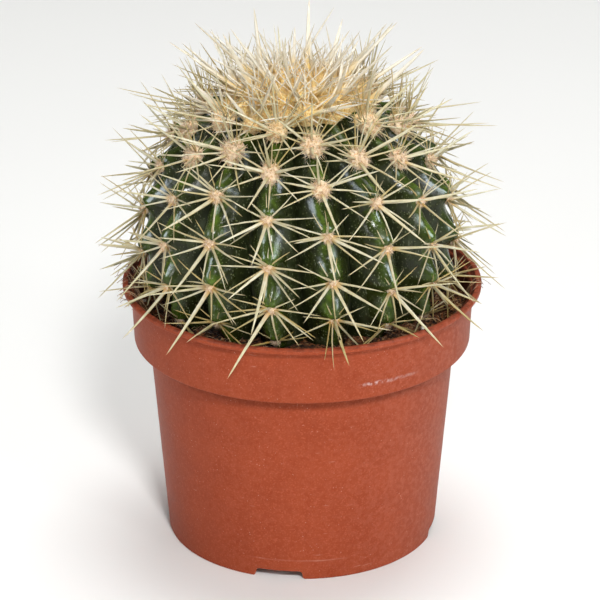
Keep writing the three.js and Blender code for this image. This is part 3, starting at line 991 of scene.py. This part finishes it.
# %% Root fibres and perlite
FIBRES = 460
RIM_FIBRES = 30
RIM_FIBRE_RADIUS = 55.2
RIM_FIBRE_HEIGHT = 86.5
FIBRE_RINGS = 9
PERLITE_GRAINS = 9


def fibre_path(i, start, direction, length, arch):
    """A curling line from a start point in a direction, arched up in its middle."""
    sideways = np.cross(UP, direction)
    curl = 0.22 + 0.15 * draw(i, 6, 14)
    phase = 3 * draw(i, 7, 14)
    waves = 6 + 2 * draw(i, 8, 14)

    def path(share):
        run = (share * length)[:, None] * direction
        sway = (np.sin(share * waves + phase) - math.sin(phase))[:, None] * sideways * length * curl
        rise = (arch * np.sin(np.clip(share, 0, 1) * math.pi))[:, None] * UP
        return start + run + sway + rise
    return path


def is_inside_pot(points):
    return np.max(np.hypot(points[:, 0], points[:, 1])) < BAND_RADIUS - WALL - 0.4


def add_fibre(bm, mesh, rod, path, radius):
    add_copy(bm, mesh, laid_along(rod, path, lambda share: radius + 0 * share))


def scatter_fibres():
    """Curled fibres on the soil, and some that hang over the rim at the left and the right."""
    bm = bmesh.new()
    rings = [k / FIBRE_RINGS for k in range(1, FIBRE_RINGS)]
    mesh, rod = stored(rod_shape(3, rings, is_pointed=False), "fibre")
    for i in range(FIBRES):
        start = soil_place(i, 40) + UP * 0.25
        length = 4.5 + 3 * draw(i, 41, 1)
        path = fibre_path(i, start, heading(180 * draw(i, 5, 14)), length, 1 + 0.8 * draw(i, 42, 1))
        if is_inside_pot(path(np.linspace(0, 1, FIBRE_RINGS))):
            add_fibre(bm, mesh, rod, path, 0.1 + 0.04 * draw(i, 43, 1))
    for i in range(RIM_FIBRES):
        azimuth = (82 + 17 * draw(i, 44, 1)) * (-1 if i % 6 else 1)
        start = heading(azimuth) * RIM_FIBRE_RADIUS + UP * (RIM_FIBRE_HEIGHT + 1.5 * draw(i, 45, 1))
        direction = heading(azimuth + 30 * draw(i, 46, 1)) + UP * 0.55
        path = fibre_path(i + FIBRES, start, direction, 7.5 + 2 * draw(i, 47, 1), 3.4)
        add_fibre(bm, mesh, rod, path, 0.11 + 0.03 * draw(i, 48, 1))
    return bm


fibre_finish = Finish("root fibre")
tone = fibre_finish.noise(2.5, 2)
fibre_colour = fibre_finish.mix(tone.ramp(0.35, 0.65), paint("5E3A24"), paint("A88660"))
fibre_finish.feed(fibre_finish.shader, {"Base Color": fibre_colour, "Roughness": 0.7 + tone * 0.2})

perlite_finish = Finish("perlite")
pits = perlite_finish.noise(0.5, 3)
perlite_colour = perlite_finish.mix(pits.ramp(0.3, 0.6), paint("B5AA98"), paint("EFEAE0"))
perlite_finish.feed(perlite_finish.shader, {
    "Base Color": perlite_colour,
    "Roughness": 0.8 + pits * 0.15,
    "Normal": perlite_finish.bump(pits * 0.3),
})

finish_piece("root_fibres", scatter_fibres(), fibre_finish)
grains = scatter_lumps(PERLITE_GRAINS, 28, (1.1, 1, 0.9), 0.35)
finish_piece("perlite_grains", grains, perlite_finish)

# %% [markdown]
# ## Spines
# Every areole carries a flat star of slender radial spines and a few stout centrals, the lowest one longest.
# Grown spines cross closely but don't pass through each other, so each new one is tested against the straight
# lines of those that already stand, and against the soil and the rim.

# %% Room for a spine
SPINE_REACH = 70
SPINE_TOP = 184.8
OVER_SOIL_RADIUS = 54
CLEAR_OF_RIM = 0.9
CLEAR_OF_SOIL = 1.2
spine_lines = np.zeros((0, 2, 3))


def gap_to_placed(start, end):
    """The shortest distance from a straight spine to the ones that already stand."""
    if not len(spine_lines):
        return math.inf
    first = end - start
    others = spine_lines[:, 1] - spine_lines[:, 0]
    apart = start - spine_lines[:, 0]
    a = first @ first
    b = others @ first
    c = apart @ first
    e = np.sum(others * others, 1)
    f = np.sum(others * apart, 1)
    s = np.clip((b * f - c * e) / np.maximum(a * e - b * b, 1e-6), 0, 1)
    t = np.clip((b * s + f) / e, 0, 1)
    s = np.clip((b * t - c) / a, 0, 1)
    return np.min(np.linalg.norm(apart + s[:, None] * first - t[:, None] * others, axis=1))


def meets_pot(points):
    """True where a spine would come too near the soil or the rim of the pot."""
    radius = np.hypot(points[:, 0], points[:, 1])
    over_soil = soil_surface(radius) + CLEAR_OF_SOIL
    floor = np.where(radius < OVER_SOIL_RADIUS, over_soil, POT_HEIGHT + CLEAR_OF_RIM)
    return bool(np.any((radius < LIP_RADIUS + CLEAR_OF_RIM) & (points[:, 2] < floor)))


def length_in_reach(root, direction, length):
    """Length that keeps a spine's tip inside the plant's reach and height."""
    a = direction[0] ** 2 + direction[1] ** 2
    b = 2 * (root[0] * direction[0] + root[1] * direction[1])
    c = root[0] ** 2 + root[1] ** 2 - SPINE_REACH ** 2
    if direction[2] > 0:
        length = min(length, (SPINE_TOP - root[2]) / direction[2])
    return min(length, (-b + math.sqrt(b * b - 4 * a * c)) / (2 * a + 1e-9))


# %% [markdown]
# A rule gives each spine its bearing round the areole, 0 towards the crown, its lift off the skin and its
# length, and a repeatable draw varies all three. One that would meet something turns aside, then lifts, until
# it is clear. Where nothing is quite clear, the roomiest way that was found is kept.

# %% Spine rule
SPINE_SPACING = 0.62
SPINE_TURNS = (0, 5, -5, 11, -11, 18, -18)
SPINE_BENDS = range(0, 70, 7)
STEEPEST = 88
START_HEIGHT = 0.3


def areole_frame(rib, arc):
    """Root point of an areole with the directions up the rib, to the side and out of the skin."""
    root = skin_point(rib, 0, arc)
    up = unit(skin_point(rib, 0, max(0.5, arc - 6)) - skin_point(rib, 0, arc + 6))
    side = heading(rib_azimuth(rib, arc) + 90)
    return root, up, side, unit(np.cross(side, up))


def clear_spine(frame_here, bearing, lift, length, spread, bends=SPINE_BENDS):
    """Root, direction and length of a spine that is clear of the pot and of its neighbours."""
    global spine_lines
    root, up, side, out = frame_here
    best = None
    for bend in bends:
        for turn in SPINE_TURNS:
            around = math.radians(bearing + turn)
            rise = math.radians(min(STEEPEST, lift + bend))
            along = up * math.cos(around) + side * math.sin(around)
            start = root + along * spread + out * START_HEIGHT
            direction = unit(along * math.cos(rise) + out * math.sin(rise))
            fitted = length_in_reach(start, direction, length)
            end = start + direction * fitted
            if meets_pot(start + np.linspace(0.25, 1, 8)[:, None] * direction * fitted):
                continue
            gap = gap_to_placed(start + direction, end)
            if best is None or gap > best[0]:
                best = (gap, start, direction, fitted, along)
            if gap > SPINE_SPACING:
                break
        if best is not None and best[0] > SPINE_SPACING:
            break
    if best is None:
        return None
    _, start, direction, fitted, along = best
    line = np.array([[start + direction, start + direction * fitted]])
    spine_lines = np.concatenate([spine_lines, line])
    return start, direction, fitted, along


print("ways to try for one spine:", len(SPINE_BENDS) * len(SPINE_TURNS))

# %% [markdown]
# Hair particles would be quick, but they have no body and no base to sink into the wool, so each spine is a
# small mesh: a six-sided rod with rings, bent along its own slight curve and tapered to a point. Old areoles
# have lost some of their radials, and the youngest carry a few more. A radial is given by its bearing and
# length, and a central by its bearing, lift and length.

# %% Spine shapes
SPINE_RINGS = (0.06, 0.2, 0.45, 0.72, 0.9)
SUNK = 1.6
YOUTH_ARCS = (27, 62)
RADIALS = [
    (14, 11), (-30, 11.5), (50, 13.5), (-62, 14.5), (80, 16.5), (-92, 16.5), (104, 16), (-122, 16), (136, 16),
    (178, 12.5),
]
YOUNG_RADIALS = [(-45, 15), (-20, 17), (20, 16), (40, 17)]
RADIALS_KEPT = 0.76
RADIAL_FLATNESS = 1.1
CENTRALS = [(-8, 60, 19), (96, 38, 21), (-100, 40, 20), (181, 44, 27)]
CENTRAL_FLATNESS = 1.35
spine_mesh, spine_rod = stored(rod_shape(6, SPINE_RINGS), "spine")


def spine_width(radius):
    """Half width along a spine: a swollen foot, a long even taper and a fine point."""
    def width(share):
        taper = np.clip(1 - share, 0, 1) ** 0.5
        return radius * taper * (1 + 0.3 * np.exp(-share / 0.06))
    return width


def add_spine(bm, start, direction, length, radius, bow, facing, flatness, tone):
    """One spine from its sunken foot to its tip, bowed by a vector. Its tone is 0 if pale and 1 if golden."""
    foot = start - direction * SUNK

    def path(share):
        curve = (share ** 2)[:, None] * bow
        return foot + (share * (length + SUNK))[:, None] * direction + curve
    add_copy(bm, spine_mesh, laid_along(spine_rod, path, spine_width(radius), facing, flatness), tone)


def add_areole_spines(bm, rib, arc, index):
    """The radials and centrals of one areole. Youth falls from 1 beside the crown to 0 lower down."""
    frame_here = areole_frame(rib, arc)
    out = frame_here[3]
    youth = float(1 - smooth_step(arc, *YOUTH_ARCS))
    radials = RADIALS + YOUNG_RADIALS if youth > 0.4 else RADIALS
    for i, (bearing, length) in enumerate(radials):
        if draw(rib, index, i + 200) > RADIALS_KEPT + youth:
            continue
        bearing = bearing + 9 * draw(rib, index, i)
        upward = max(0, math.cos(math.radians(bearing)))
        lift = 17 + 7 * draw(rib, index, i + 20) + (12 + 22 * upward) * youth
        length = length * (1 + 0.13 * draw(rib, index, i + 40) + 0.2 * youth - 0.35 * upward * (1 - youth))
        spine = clear_spine(frame_here, bearing, lift, length, 1.5 + 0.6 * youth)
        if spine is not None:
            start, direction, fitted, _ = spine
            bow = np.cross(direction, out) * 2 * draw(rib, index, i + 50) - out * 0.9
            slender = 0.37 - 0.1 * upward + 0.04 * draw(rib, index, i + 55)
            tone = 0.3 + 0.35 * upward + 0.45 * draw(rib, index, i + 57)
            add_spine(bm, start, direction, fitted, slender, bow, out, RADIAL_FLATNESS, tone)
    for i, (bearing, lift, length) in enumerate(CENTRALS):
        bearing = bearing + 24 * draw(rib, index, i + 60)
        lift = lift + 7 * draw(rib, index, i + 70) + 6 * youth
        length = length * (1 + 0.1 * draw(rib, index, i + 80) + 0.1 * youth)
        spine = clear_spine(frame_here, bearing, lift, length, 0.7)
        if spine is not None:
            start, direction, fitted, along = spine
            bow = -along * 1.2 * (1 + draw(rib, index, i + 90))
            bow = bow + np.cross(direction, out) * draw(rib, index, i + 95)
            stout = (0.53 if i == len(CENTRALS) - 1 else 0.43) + 0.08 * draw(rib, index, i + 99)
            tone = 0.25 + 0.25 * draw(rib, index, i + 97)
            add_spine(bm, start, direction, fitted, stout, bow, out, CENTRAL_FLATNESS, tone)


print("spines planned for one areole:", len(RADIALS) + len(CENTRALS))

# %% [markdown]
# ## The crown
# At the crown the ribs run together and the youngest areoles stand so close that their wool makes one felt,
# deep gold in the dip where it is newest. It is built in three layers: a pad that follows the skin, cushions
# and fine hairs that break its outline, and the young spines that stand in it. The first thing to settle is
# where those areoles are and how high the wool lies over them.

# %% Crown areoles
WOOL_RADIUS = 24
WOOL_HEIGHT = 4.2
FELT_SCALLOP = 2.1
CROWN_ARCS = (6, 27)
INNER_PITCHES = (12.5, 21, 28)


def crown_areoles():
    """Rib, arc and age order of the young areoles inside the edge of the wool."""
    found = []
    for rib in range(RIBS):
        for order, pitch in enumerate(INNER_PITCHES):
            arc = areole_arcs(rib)[0] - pitch
            if CROWN_ARCS[0] < arc < CROWN_ARCS[1]:
                found.append((rib, arc, order))
    return found


def skin_heights(radius, azimuth):
    """Heights of the smooth globe and of its ribbed skin at a distance from the plant's axis."""
    arc = GLOBE_RADIUS * math.asin(min(radius / GLOBE_RADIUS, 1))
    rib, across = rib_at(azimuth, arc)
    smooth = float(globe_profile(arc)[1])
    return smooth, smooth + float(relief(rib, across, arc)) * math.cos(arc / GLOBE_RADIUS)


def felt_reach(azimuth):
    """Radius of the edge of the felt, which runs farther down the ribs than into the furrows."""
    wave = math.cos(math.radians(RIBS * (azimuth - rib_azimuth(0, WOOL_RADIUS))))
    return WOOL_RADIUS - 0.6 - FELT_SCALLOP * (1 - wave)


def wool_top(radius, azimuth):
    """Upper surface of the wool: a low lumpy ring round a dip, draped over the ribs at its edge."""
    smooth, skin = skin_heights(radius, azimuth)
    share = min(radius / felt_reach(azimuth), 1)
    draped = smooth + (skin - smooth) * share ** 2
    thick = WOOL_HEIGHT * (0.6 + 0.4 * float(smooth_step(radius, 2, 13)))
    lumps = 0.7 * math.sin(math.radians(5 * azimuth) + radius / 3) * share
    return draped + 0.3 + (thick + lumps) * (1 - share ** 2.5) ** 0.6


def wool_place(radius, azimuth, sunk):
    """A place that lies so far below the top of the wool."""
    return heading(azimuth) * radius + np.array([PLANT_X, 0, wool_top(radius, azimuth) - sunk])


def crown_frame(rib, arc):
    """Root in the top of the wool with the directions up the rib, to the side and outwards."""
    radius = float(globe_profile(arc)[0])
    azimuth = float(rib_azimuth(rib, arc))
    root = wool_place(radius, azimuth, 0.6)
    lean = math.radians(8 + 30 * radius / WOOL_RADIUS)
    out = heading(azimuth) * math.sin(lean) + UP * math.cos(lean)
    side = heading(azimuth + 90)
    return root, np.cross(out, side), side, out


print("crown areoles:", len(crown_areoles()))

# %% [markdown]
# A young areole has three kinds of spines: one or two stout ones that stand up, a ring of thin ones that
# cross their neighbours, and a few thin upright ones. The nearer to the middle, the fewer have come out of
# the wool. They are placed before the spines of the lower areoles, so that those give way to them.

# %% Young spines
YOUNG_BENDS = (0, 6, -6, 12, -12, 18, -18)
YOUNG_FLATNESS = 1.25
YOUNG_KINDS = [
    {"counts": (2, 1, 1), "first": 0.5, "shape": (58, 23, 0.76, 0.9)},
    {"counts": (8, 4, 2), "first": 0, "shape": (34, 14.5, 0.3, 1.6)},
    {"counts": (4, 3, 2), "first": 0.3, "shape": (54, 14, 0.35, 1.6)},
]


def add_young_spines(bm, rib, arc, order):
    """The young spines of one areole: a shape is a kind's lift, length, radius and distance from the root."""
    frame_here = crown_frame(rib, arc)
    spines = []
    for kind in YOUNG_KINDS:
        count = kind["counts"][order]
        spines += [(360 * (i + kind["first"]) / count, *kind["shape"]) for i in range(count)]
    for i, (bearing, lift, length, radius, spread) in enumerate(spines):
        bearing = bearing + 40 * draw(rib, order, i + 110)
        lift = lift + 20 * draw(rib, order, i + 120)
        length = length * (1 + 0.34 * draw(rib, order, i + 130))
        start, direction, fitted, along = clear_spine(frame_here, bearing, lift, length, spread, YOUNG_BENDS)
        bow = np.cross(direction, UP) * 0.8 * draw(rib, order, i + 140)
        radius = radius * (1 + 0.26 * draw(rib, order, i + 150))
        tone = 0.25 + 0.25 * draw(rib, order, i + 160)
        add_spine(bm, start, direction, fitted, radius, bow, along, YOUNG_FLATNESS, tone)


crown_spine_bm = bmesh.new()
for rib, arc, order in crown_areoles():
    add_young_spines(crown_spine_bm, rib, arc, order)
print("crown spines:", len(spine_lines))

# %% [markdown]
# The lower areoles follow, rib by rib and from the crown down, and each spine is tried against all that
# already stand.

# %% All spines of the globe
spine_bm = bmesh.new()
for rib in range(RIBS):
    for index, arc in enumerate(areole_arcs(rib)):
        add_areole_spines(spine_bm, rib, arc, index)
print("spines in all:", len(spine_lines))

# %% [markdown]
# ## Straw and wool
# A spine is warm yellow where it leaves the wool, pale straw along its length and a little browner at the
# point. Every copy of the rod kept the share of its length as an attribute, so one ramp colours them all, and
# a second attribute, how near a point is to the flat spine's edge, draws the golden rim. The wool is peach
# cream, matt and slightly see-through, which a little subsurface scatter gives.

# %% Spine and wool finishes
def make_spine_finish(name, foot, straw, pale, foot_end, edge_share):
    """Straw colour from a warm foot to a brownish point, more golden on the old spines near the soil."""
    spine = Finish(name)
    along = spine.attribute("along")
    cloud = spine.noise(3, 2)
    golden = spine.attribute("tone") + spine.axes()[2].ramp(112, 84) * 0.45
    edge = spine.attribute("edge").ramp(0.55, 1)
    base = spine.coats(
        paint(straw),
        (cloud.ramp(0.4, 0.7) * 0.7, pale),
        (golden.ramp(0.3, 1) * 0.75, "A48E42"),
        (edge * (edge_share + golden * 0.4), "B08E44"),
    )
    base = spine.mix(along.ramp(0.05, foot_end), paint(foot), base)
    base = spine.mix(along.ramp(0.86, 1.0) * 0.5, base, paint("A88248"))
    spine.feed(spine.shader, {
        "Base Color": base,
        "Roughness": 0.36 + cloud * 0.16,
        "Normal": spine.bump(spine.noise(0.5, 2) * 0.05),
        "Subsurface Weight": 0.12,
        "Subsurface Radius": (1, 0.85, 0.6),
        "Subsurface Scale": 0.6 * MM,
    })
    return spine


def make_wool_finish():
    """Peach wool that turns deep gold near the middle of the crown."""
    wool = Finish("wool")
    x, y = wool.axes()[:2]
    from_axis = wool.maths("SQRT", (x - PLANT_X) * (x - PLANT_X) + y * y)
    curl = wool.noise(0.9, 3, roughness=0.7)
    patch = wool.noise(4, 2)
    gold = (from_axis + patch * 6).ramp(40, 20)
    dark = wool.mix(gold, paint("C69A68"), paint("DAA440"))
    light = wool.mix(gold, paint("ECD2B0"), paint("F4DA96"))
    base = wool.coats(wool.mix(curl.ramp(0.34, 0.56), dark, light), (patch.ramp(0.5, 0.8) * 0.35, "EAD8BC"))
    wool.feed(wool.shader, {
        "Base Color": base,
        "Roughness": 0.85 + curl * 0.1,
        "Normal": wool.bump(curl * 0.5 + wool.noise(0.35, 2) * 0.12),
        "Sheen Weight": 0.25,
        "Subsurface Weight": 0.2,
        "Subsurface Radius": (1, 0.6, 0.35),
        "Subsurface Scale": 1.2 * MM,
    })
    return wool


young_finish = make_spine_finish("young spine", "E2C070", "D6CEBA", "E2DDD0", 0.52, 0.15)
finish_piece("crown_spines", crown_spine_bm, young_finish)
grown_finish = make_spine_finish("grown spine", "BC8E40", "B8B08B", "CFCAB2", 0.24, 0.35)
finish_piece("areole_spines", spine_bm, grown_finish, ["cactus_body"])

# %% [markdown]
# ## Wool
# Each areole is a small cushion of felt that its spines grow out of. One cushion is a lumpy core with short
# hairs standing out of it, so its outline is never a clean curve. Five of them, turned, stretched and sized
# by the age of the areole, are enough for all.

# %% Areole wool
TUFTS = 5
TUFT_HAIRS = 180
HAIR_TURN = 2.39996
HAIR_FACING = np.array([0.3, 0.9, 0.2])
hair_mesh, hair_rod = stored(rod_shape(3, (0.5,)), "hair")


def add_hair(bm, foot, direction, length, radius, curl):
    def path(share):
        return foot + (share * length)[:, None] * direction + (share ** 2)[:, None] * curl
    add_copy(bm, hair_mesh, laid_along(hair_rod, path, lambda share: radius * (1.05 - share), HAIR_FACING))


def tuft_shape(seed):
    """A cushion of wool of unit radius: a lumpy core with fine hairs standing out of it."""
    bm = bmesh.new()
    bmesh.ops.create_icosphere(bm, subdivisions=3, radius=0.93)
    for vert in bm.verts:
        vert.co *= 1 + 0.2 * noise.noise(vert.co * 3 + Vector((seed * 7, 0, 0)))
    bmesh.ops.scale(bm, vec=(1, 1, 0.7), verts=bm.verts)
    for i in range(TUFT_HAIRS):
        height = 1 - 1.15 * (i + 0.5) / TUFT_HAIRS
        turn = i * HAIR_TURN + draw(i, seed, 31)
        spread = math.sqrt(max(0, 1 - height * height))
        out = np.array([spread * math.cos(turn), spread * math.sin(turn), height])
        lean = np.array([draw(i, seed, 32), draw(i, seed, 33), draw(i, seed, 34)]) * 0.55
        foot = out * np.array([0.8, 0.8, 0.6])
        length = 0.42 + 0.16 * draw(i, seed, 35)
        add_hair(bm, foot, unit(out + lean), length, 0.04, lean * 0.5)
    return stored(bm, "tuft")


def add_tuft(bm, tuft, frame_here, size, stretch, spin):
    """A copy of a tuft, sized in millimetres and stretched up the rib, on an areole's root."""
    mesh, shape = tuft
    root, up, side, out = frame_here
    turned = shape @ np.array(Matrix.Rotation(spin, 3, "Z"))
    add_copy(bm, mesh, root + (turned * size * np.array([1, stretch, 1])) @ np.array([side, up, out]))


def tuft_size(arc):
    """Half width of an areole's cushion: the youngest are the fullest."""
    old = 0.35 * (1 - smooth_step(arc, 60, 95))
    return float(1.7 + old + 2 * (1 - smooth_step(arc, 34, 60)))


tufts = [tuft_shape(seed) for seed in range(TUFTS)]
wool_bm = bmesh.new()
for rib in range(RIBS):
    for index, arc in enumerate(areole_arcs(rib)):
        tuft = tufts[(rib + index) % TUFTS]
        size = tuft_size(arc) * (1 + 0.08 * draw(rib, index, 36))
        add_tuft(wool_bm, tuft, areole_frame(rib, arc), size, 1.06 + 0.03 * size, 3 * draw(rib, index, 37))
wool_finish = make_wool_finish()
finish_piece("areole_wool", wool_bm, wool_finish)

# %% [markdown]
# The felt of the crown is one closed pad, a flattened sphere whose upper rows follow the wool and whose lower
# rows follow the skin. Hairs cover it, each a golden angle round from the last, which spreads them as evenly
# as the seeds of a sunflower, and larger cushions mark the young areoles.

# %% Crown wool
PAD_SIDES = 192
PAD_ROWS = 44
PAD_LUMP = 2.2
CROWN_HAIRS = 6000
GOLDEN_ANGLE = 137.508


def make_pad():
    """The pad of wool: its upper rows follow the felt and its lower rows the skin."""
    bm, row, column = grid_of_sphere(PAD_SIDES, PAD_ROWS)
    for vert, i, j in zip(bm.verts, row, column):
        azimuth = 360 * j / PAD_SIDES
        radius = felt_reach(azimuth) * math.sin(math.pi * i / PAD_ROWS)
        place = heading(azimuth) * radius + np.array([PLANT_X, 0, 0])
        if i <= PAD_ROWS / 2:
            lump = noise.noise(Vector((place[0] / PAD_LUMP, place[1] / PAD_LUMP, 5)))
            place[2] = wool_top(radius, azimuth) + 0.9 * lump * (1 - (radius / WOOL_RADIUS) ** 4)
        else:
            place[2] = skin_heights(radius, azimuth)[1] + 0.1
        vert.co = place
    return bm


def add_crown_hairs(bm):
    """Fine curled hairs all over the pad, spread by the golden angle."""
    for i in range(CROWN_HAIRS):
        azimuth = GOLDEN_ANGLE * i
        radius = felt_reach(azimuth) * math.sqrt((i + 0.5) / CROWN_HAIRS)
        foot = wool_place(radius, azimuth, 0.5)
        lean = np.array([draw(i, 1, 38), draw(i, 2, 38), 0]) * 0.9 + heading(azimuth) * (radius / 28) ** 2
        add_hair(bm, foot, unit(lean + UP), 2.2 + 0.9 * draw(i, 3, 38), 0.12, lean * 1.2)


pad_bm = make_pad()
add_crown_hairs(pad_bm)
for i, (rib, arc, order) in enumerate(crown_areoles()):
    size = 3.5 - 0.5 * order
    add_tuft(pad_bm, tufts[i % TUFTS], crown_frame(rib, arc), size, 1.1, 3 * draw(rib, order, 39))
finish_piece("crown_felt", pad_bm, wool_finish, ["crown_wool"])

# %% [markdown]
# ## The studio
# A pale floor runs out of sight behind the pot, under a weak warm sky. A small lamp above the camera gives
# the form and the shadows, a wide one overhead lights the crown, and two small low ones at the sides lift the
# dark flanks. The whitish streaks on the waxy skin are the reflections of two wide bluish windows. These show
# in gloss only, because as lamps they would wash the shadows out.

# %% Floor and lamps
FLOOR_HALF_SIZE = 4
LAMP_AIM = Vector((0, 0, 0.09))
WINDOW_BLUE = (0.8, 0.9, 1)
LAMPS = {
    "front_lamp": ((0.18, -1.2, 1.12), 0.22, 18),
    "left_lamp": ((-0.9, -1.25, 0.5), 0.15, 1.9),
    "right_lamp": ((1.0, -1.1, 0.5), 0.17, 3.6),
    "left_window": ((-1.2, -0.55, 0.75), 0.7, 32),
    "right_window": ((1.2, -0.55, 0.75), 0.7, 38),
    "top_lamp": ((0.1, 0.3, 1.5), 0.8, 15),
}


def make_floor():
    bm = bmesh.new()
    bmesh.ops.create_grid(bm, x_segments=8, y_segments=8, size=FLOOR_HALF_SIZE)
    mesh = bpy.data.meshes.new("studio_floor")
    bm.to_mesh(mesh)
    bm.free()
    card = Finish("pale card")
    tone = card.noise(300, 2)
    card.feed(card.shader, {"Base Color": card.mix(tone, paint("F0F0EE"), paint("EBEBE9")), "Roughness": 0.8})
    mesh.materials.append(card.material)
    floor = bpy.data.objects.new("studio_floor", mesh)
    scene.collection.objects.link(floor)
    return floor


def add_lamp(name, place, width, watts):
    """A square soft lamp that faces the plant. A window only shows as a reflection."""
    data = bpy.data.lights.new(name, "AREA")
    data.size = width
    data.energy = watts
    lamp = bpy.data.objects.new(name, data)
    lamp.location = place
    lamp.rotation_euler = (LAMP_AIM - lamp.location).to_track_quat("-Z", "Y").to_euler()
    if name.endswith("window"):
        lamp.visible_diffuse = False
        data.color = WINDOW_BLUE
    scene.collection.objects.link(lamp)


make_floor()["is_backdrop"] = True
for name, (place, width, watts) in LAMPS.items():
    add_lamp(name, place, width, watts)
world = bpy.data.worlds.new("studio")
world.use_nodes = True
sky = world.node_tree.nodes["Background"]
sky.inputs["Color"].default_value = (1, 0.99, 0.96, 1)
sky.inputs["Strength"].default_value = 0.2
scene.world = world
scene.view_settings.view_transform = "Standard"
print("lamps:", ", ".join(LAMPS))

# %% [markdown]
# ## Sizes
# The box round all the pieces is printed beside the box of the exact solids. The pieces may stand only a
# little proud of the exact solids.

# %% Sizes and the end
visual_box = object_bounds()
sizes = {"cad": [list(corner) for corner in cad_box], "visual": [list(corner) for corner in visual_box]}
for name, box in sizes.items():
    print(name, "box:", [[round(part, 4) for part in corner] for corner in box])
